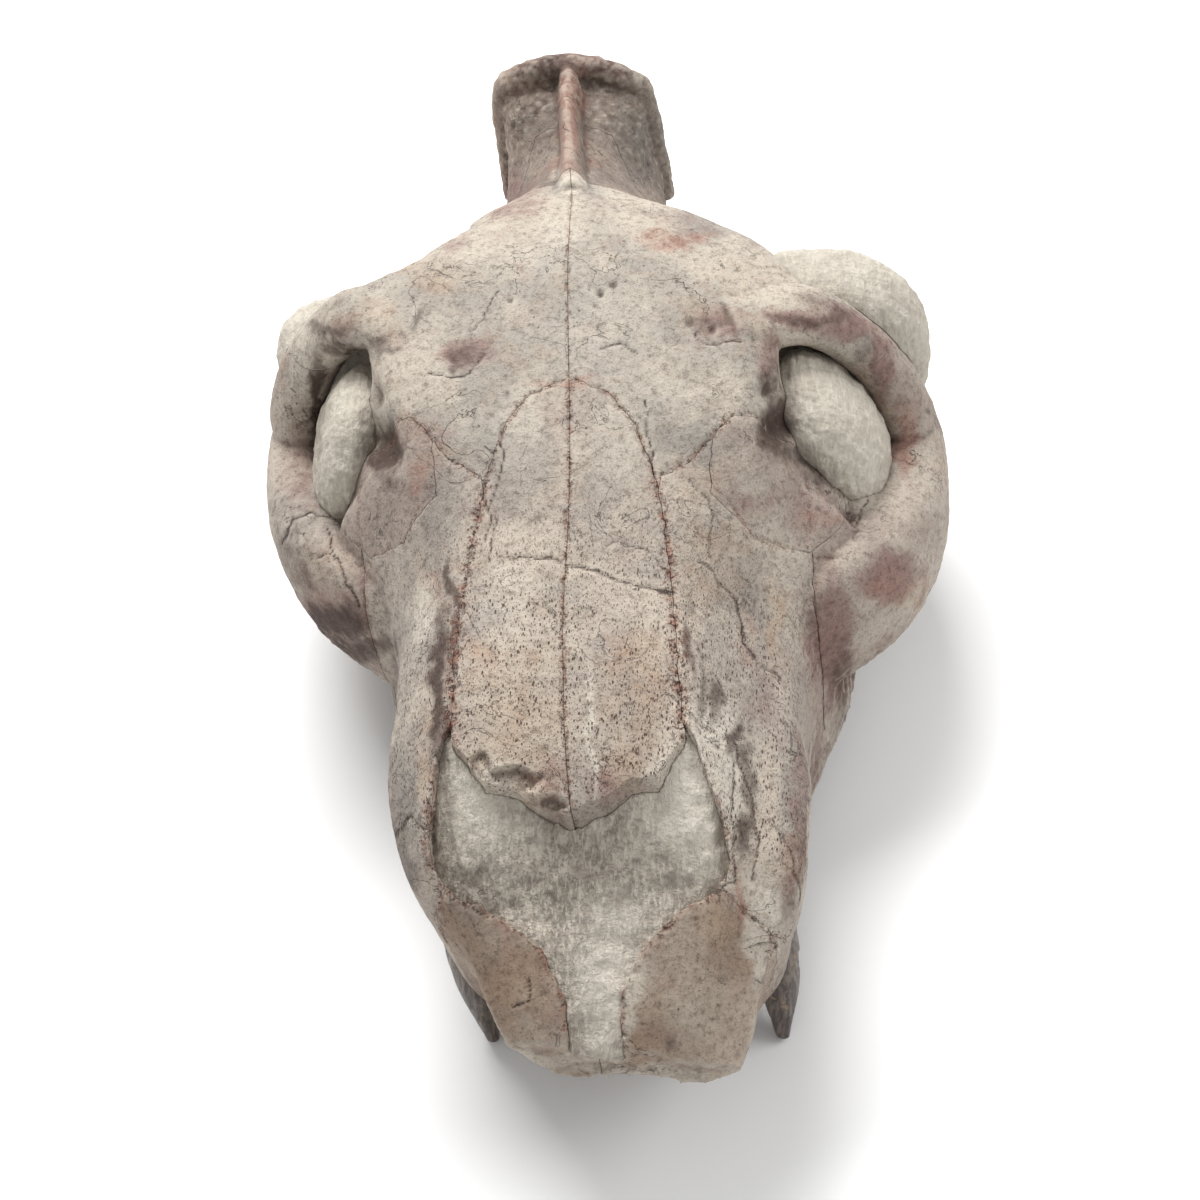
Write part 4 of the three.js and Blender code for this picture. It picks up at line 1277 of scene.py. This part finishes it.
def bone_finish(name, body, second, darkness, mauve_veil):
    """Body colours, veils and marks laid over one another, then pores, cracks and crowns."""
    material, tree, shader = finish_tree(name, BONE_ROUGHNESS)
    p = place(tree)
    along = place(tree, (1.0, 0.36, 1.0))
    broad = cloud(tree, p, 22, 5, 0.62)
    middle = cloud(tree, p, 6, 6, 0.7)
    blotch = cloud(tree, p, 11, 6, 0.66, 0.6)
    fine = cloud(tree, p, 1.3, 5, 0.75)
    grain = cloud(tree, p, 0.4, 3, 0.6)
    part_of = partial(maths, tree, "MULTIPLY")
    colour = laid_over(tree, body, second, stretch(tree, broad, 0.4, 0.6))
    colour = veiled(tree, colour, MAUVE, stretch(tree, middle, 0.5, 0.7), mauve_veil)
    colour = veiled(tree, colour, TAN, stretch(tree, blotch, 0.5, 0.7), 0.3)
    lumps = part_of(maths(tree, "SUBTRACT", middle, 0.5), 1.1)
    # The grey and dark marks carry painted shade as well as the bone's own grey and dark brown.
    for mark_name, tint, most in (("grey", SLATE, 0.7), ("warm", TAN, 0.85), ("rose", MAUVE, 0.85),
                                  ("salmon", SALMON, 0.75), ("pale", CHALK, 0.75),
                                  ("dark", UMBER, 0.92)):
        strength = mark_of(tree, mark_name)
        amount = part_of(stretch(tree, maths(tree, "ADD", strength, lumps), 0.1, 0.85), most)
        amount = part_of(amount, stretch(tree, strength, 0.02, 0.25))
        colour = laid_over(tree, colour, tint, amount)
    if darkness:
        colour = veiled(tree, colour, UMBER, stretch(tree, broad, 0.3, 0.6), darkness)
    colour = veiled(tree, colour, SHADE, stretch(tree, fine, 0.46, 0.72), 0.75, "MULTIPLY")
    colour = veiled(tree, colour, SHADE, stretch(tree, grain, 0.5, 0.75), 0.6, "MULTIPLY")
    colour = veiled(tree, colour, CREAM, stretch(tree, fine, 0.44, 0.28), 0.22)
    # Painted shade in the hollows and a painted highlight on raised edges.
    colour = veiled(tree, colour, UMBER, mark_of(tree, "hollow"), 0.55)
    colour = veiled(tree, colour, CHALK, mark_of(tree, "ridge"), 0.3)
    crumbs = stretch(tree, cloud(tree, p, 1.6, 5, 0.75), 0.4, 0.66)
    seam = part_of(mark_of(tree, "seam"), crumbs)
    colour = veiled(tree, colour, RUST, seam, 0.8)
    specks = stretch(tree, cloud(tree, p, 0.8, 4, 0.7), 0.54, 0.62)
    specks = part_of(mark_of(tree, "seam"), specks)
    colour = veiled(tree, colour, BLACKISH, specks, 0.85)
    cracked = stretch(tree, mark_of(tree, "crack"), 0.45, 0.95, 0.0, 0.8)
    colour = laid_over(tree, colour, BLACKISH, cracked)
    folded = maths(tree, "ABSOLUTE", maths(tree, "SUBTRACT", cloud(tree, p, 14, 5, 0.55, 0.8), 0.5))
    some = stretch(tree, cloud(tree, p, 18, 2, 0.5), 0.48, 0.6)
    net = part_of(stretch(tree, folded, 0.0045, 0.001), some)
    colour = veiled(tree, colour, BLACKISH, net, 0.5)
    holes = stretch(tree, cells(tree, along, 0.58), 0.28, 0.16)
    small = stretch(tree, cells(tree, along, 0.36), 0.27, 0.14)
    gathered = stretch(tree, cloud(tree, p, 5, 3, 0.6), 0.36, 0.58)
    holes = maths(tree, "MAXIMUM", part_of(holes, gathered), part_of(small, 0.6))
    holes = part_of(holes, mark_of(tree, "pores"))
    colour = veiled(tree, colour, PORE, holes, 0.95)
    stray = part_of(stretch(tree, cells(tree, p, 2.2), 0.1, 0.05), some)
    colour = veiled(tree, colour, UMBER, stray, 0.7)
    crown = mark_of(tree, "crown")
    streak = stretch(tree, cloud(tree, place(tree, (1.0, 1.0, 0.25)), 1.6, 4, 0.6), 0.35, 0.65)
    enamel = laid_over(tree, BLACKISH, WORN_ENAMEL, streak)
    colour = veiled(tree, colour, enamel, crown, 0.9)
    tree.links.new(colour, shader.inputs["Base Color"])
    dullness = stretch(tree, fine, 0.2, 0.8, BONE_ROUGHNESS + 0.1, BONE_ROUGHNESS - 0.12)
    dullness = maths(tree, "SUBTRACT", dullness, part_of(crown, 0.35))
    tree.links.new(dullness, shader.inputs["Roughness"])
    height = maths(tree, "ADD", part_of(fine, 0.35), part_of(cloud(tree, along, 0.7, 3, 0.6), 0.22))
    height = maths(tree, "ADD", height, part_of(grain, 0.16))
    for hole, depth in ((holes, 0.5), (net, 0.5), (stray, 0.4), (specks, 0.5)):
        height = maths(tree, "SUBTRACT", height, part_of(hole, depth))
    bumped(tree, shader, height, 0.8, 0.9)
    return material


# %% [markdown]
# The rock is pale siltstone: nearly white where the tools bruised it, with a sandy grain and short
# scratches. It has painted shade in its hollows and a painted highlight on its raised edges, and
# the rock in the nose has painted light where it is lit and a painted shadow under the broken
# nasals. It has no gloss at all. The rock in the nose is rougher and more uneven in colour than the
# rock in and behind the eye sockets.

# %% Rock
def rock_finish(name, body, shade, rough):
    """Rough goes from 0, smooth and even, to 1: it scales the scratches, specks and bump."""
    material, tree, shader = finish_tree(name, 0.95)
    shader.inputs["Specular IOR Level"].default_value = 0.12
    p = place(tree)
    scratch = cloud(tree, place(tree, (1.0, 0.22, 0.5)), 0.7, 4, 0.6)
    grain = cloud(tree, p, 0.9, 4, 0.65)
    lumps = cloud(tree, p, 2.2, 6, 0.75)
    broad = cloud(tree, p, 9, 5, 0.65)
    part_of = partial(maths, tree, "MULTIPLY")
    colour = veiled(tree, body, shade, stretch(tree, broad, 0.4, 0.62), 0.8)
    colour = veiled(tree, colour, shade, stretch(tree, lumps, 0.45, 0.65), 0.6 * rough)
    colour = veiled(tree, colour, SLATE, stretch(tree, grain, 0.48, 0.58), 0.5 * rough)
    colour = veiled(tree, colour, BRUISE_AND_PAINTED_LIGHT, stretch(tree, scratch, 0.5, 0.58), 0.5 * rough)
    rusty = stretch(tree, cloud(tree, p, 4, 4, 0.7), 0.58, 0.72)
    colour = veiled(tree, colour, TAN, rusty, 0.3 * rough)
    # Painted light and shade: the pale mark lightens the lit parts of the rock in the nose and
    # elsewhere is paler rock, and the dark mark lays painted shade, such as the shadow under the
    # broken tips of the nasals.
    colour = veiled(tree, colour, BRUISE_AND_PAINTED_LIGHT, mark_of(tree, "pale"), 0.8)
    colour = veiled(tree, colour, UMBER, mark_of(tree, "dark"), 0.6)
    # Painted shade in the hollows and a painted highlight on raised edges.
    colour = veiled(tree, colour, UMBER, mark_of(tree, "hollow"), 0.35)
    colour = veiled(tree, colour, CHALK, mark_of(tree, "ridge"), 0.3)
    tree.links.new(colour, shader.inputs["Base Color"])
    height = maths(tree, "ADD", part_of(grain, 0.8), part_of(scratch, 0.7))
    height = maths(tree, "ADD", height, part_of(lumps, 0.9))
    bumped(tree, shader, height, 1.25 * rough, 1.0)
    return material


# %% [markdown]
# Old enamel is nearly black, with brown streaks that run down the tooth and a dull polish.

# %% Enamel
def enamel_finish(name):
    material, tree, shader = finish_tree(name, 0.38)
    shader.inputs["Specular IOR Level"].default_value = 0.5
    p = place(tree)
    streak = cloud(tree, place(tree, (1.0, 0.8, 0.12)), 0.8, 5, 0.65)
    chips = stretch(tree, cloud(tree, p, 3.0, 4, 0.6), 0.58, 0.64)
    colour = laid_over(tree, ENAMEL, ENAMEL_STREAK, stretch(tree, streak, 0.4, 0.66))
    colour = veiled(tree, colour, DENTINE, chips, 0.8)
    tree.links.new(colour, shader.inputs["Base Color"])
    tree.links.new(stretch(tree, chips, 0, 1, 0.36, 0.8), shader.inputs["Roughness"])
    height = maths(tree, "SUBTRACT", streak, maths(tree, "MULTIPLY", chips, 0.4))
    bumped(tree, shader, height, 0.35, 0.8)
    return material


# %% Dress the pieces
# Each kind of bone: its name, two body colours, how dark and how mauve it is.
BONES = [
    ("pored_bone", linear(182, 171, 157), linear(162, 152, 142), 0.0, 0.3),
    ("grey_bone", CREAM, GREY, 0.0, 0.3),
    ("tan_bone", linear(166, 152, 137), linear(150, 130, 113), 0.15, 0.35),
    ("mauve_bone", linear(180, 169, 156), linear(160, 147, 137), 0.06, 0.35),
    ("dark_bone", linear(158, 142, 129), linear(138, 128, 118), 0.2, 0.45),
]
# Each rock: its name, its colour, the shade in its hollows and its roughness.
ROCKS = [
    ("rock", linear(190, 183, 170), linear(177, 169, 156), 0.35),
    ("nose_rock", linear(210, 200, 185), linear(167, 156, 143), 1.0),
]
FINISHES = {row[0]: bone_finish(*row) for row in BONES}
FINISHES.update({row[0]: rock_finish(*row) for row in ROCKS})
FINISHES["enamel"] = enamel_finish("enamel")
SLOT_OF = {
    "nasal": "pored_bone", "maxilla": "pored_bone", "frontal": "grey_bone",
    "premaxilla": "tan_bone", "lacrimal": "mauve_bone", "jugal": "mauve_bone",
    "squamosal": "mauve_bone", "canine": "enamel", "temporal_rock": "rock", "orbit_rock": "rock",
    "nasal_rock": "rock", "occipital": "dark_bone", "braincase": "dark_bone",
}
for node, obj in pieces.items():
    kind = node.replace("_left", "").replace("_right", "")
    obj.name = "fossil_" + node
    obj.data.materials.clear()
    obj.data.materials.append(FINISHES["nose_rock" if kind == "nasal_rock" else SLOT_OF[kind]])
    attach(obj, "root")
    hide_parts(node)
print("dressed", len(pieces), "pieces")

# %% [markdown]
# A plain pale floor and soft light from large panels, one high behind the skull and one in front,
# leave the gentle shadows under the snout and the arches that the photograph has.

# %% Floor and light
bpy.ops.mesh.primitive_plane_add(size=6, location=(0, 0, 0))
floor = bpy.context.object
floor.name = "floor"
floor_paint, floor_tree, floor_shader = finish_tree("floor", 0.9)
floor_shader.inputs["Base Color"].default_value = (0.93, 0.93, 0.93, 1)
floor.data.materials.append(floor_paint)


def panel(name, position, aim, size, power):
    light = bpy.data.lights.new(name, "AREA")
    light.shape = "RECTANGLE"
    light.size, light.size_y = size
    light.energy = power
    obj = bpy.data.objects.new(name, light)
    bpy.context.scene.collection.objects.link(obj)
    direction = Vector(aim) - Vector(position)
    obj.rotation_euler = direction.to_track_quat("-Z", "Y").to_euler()
    obj.location = position


panel("key_panel", (-0.35, 0.75, 1.0), (0, 0, 0.03), (0.8, 0.5), 22.5)
panel("side_panel", (0.8, 0.1, 0.7), (0, 0, 0.03), (0.6, 0.6), 4)
panel("front_panel", (-0.3, -0.9, 0.9), (0, 0, 0.03), (0.9, 0.6), 1.5)
world = bpy.data.worlds.new("studio")
world.use_nodes = True
world.node_tree.nodes["Background"].inputs["Color"].default_value = (1, 1, 1, 1)
world.node_tree.nodes["Background"].inputs["Strength"].default_value = 0.45
bpy.context.scene.world = world
bpy.context.scene.view_settings.view_transform = "Standard"
bpy.context.scene.view_settings.look = "None"

# %% Finish
bpy.context.view_layer.update()
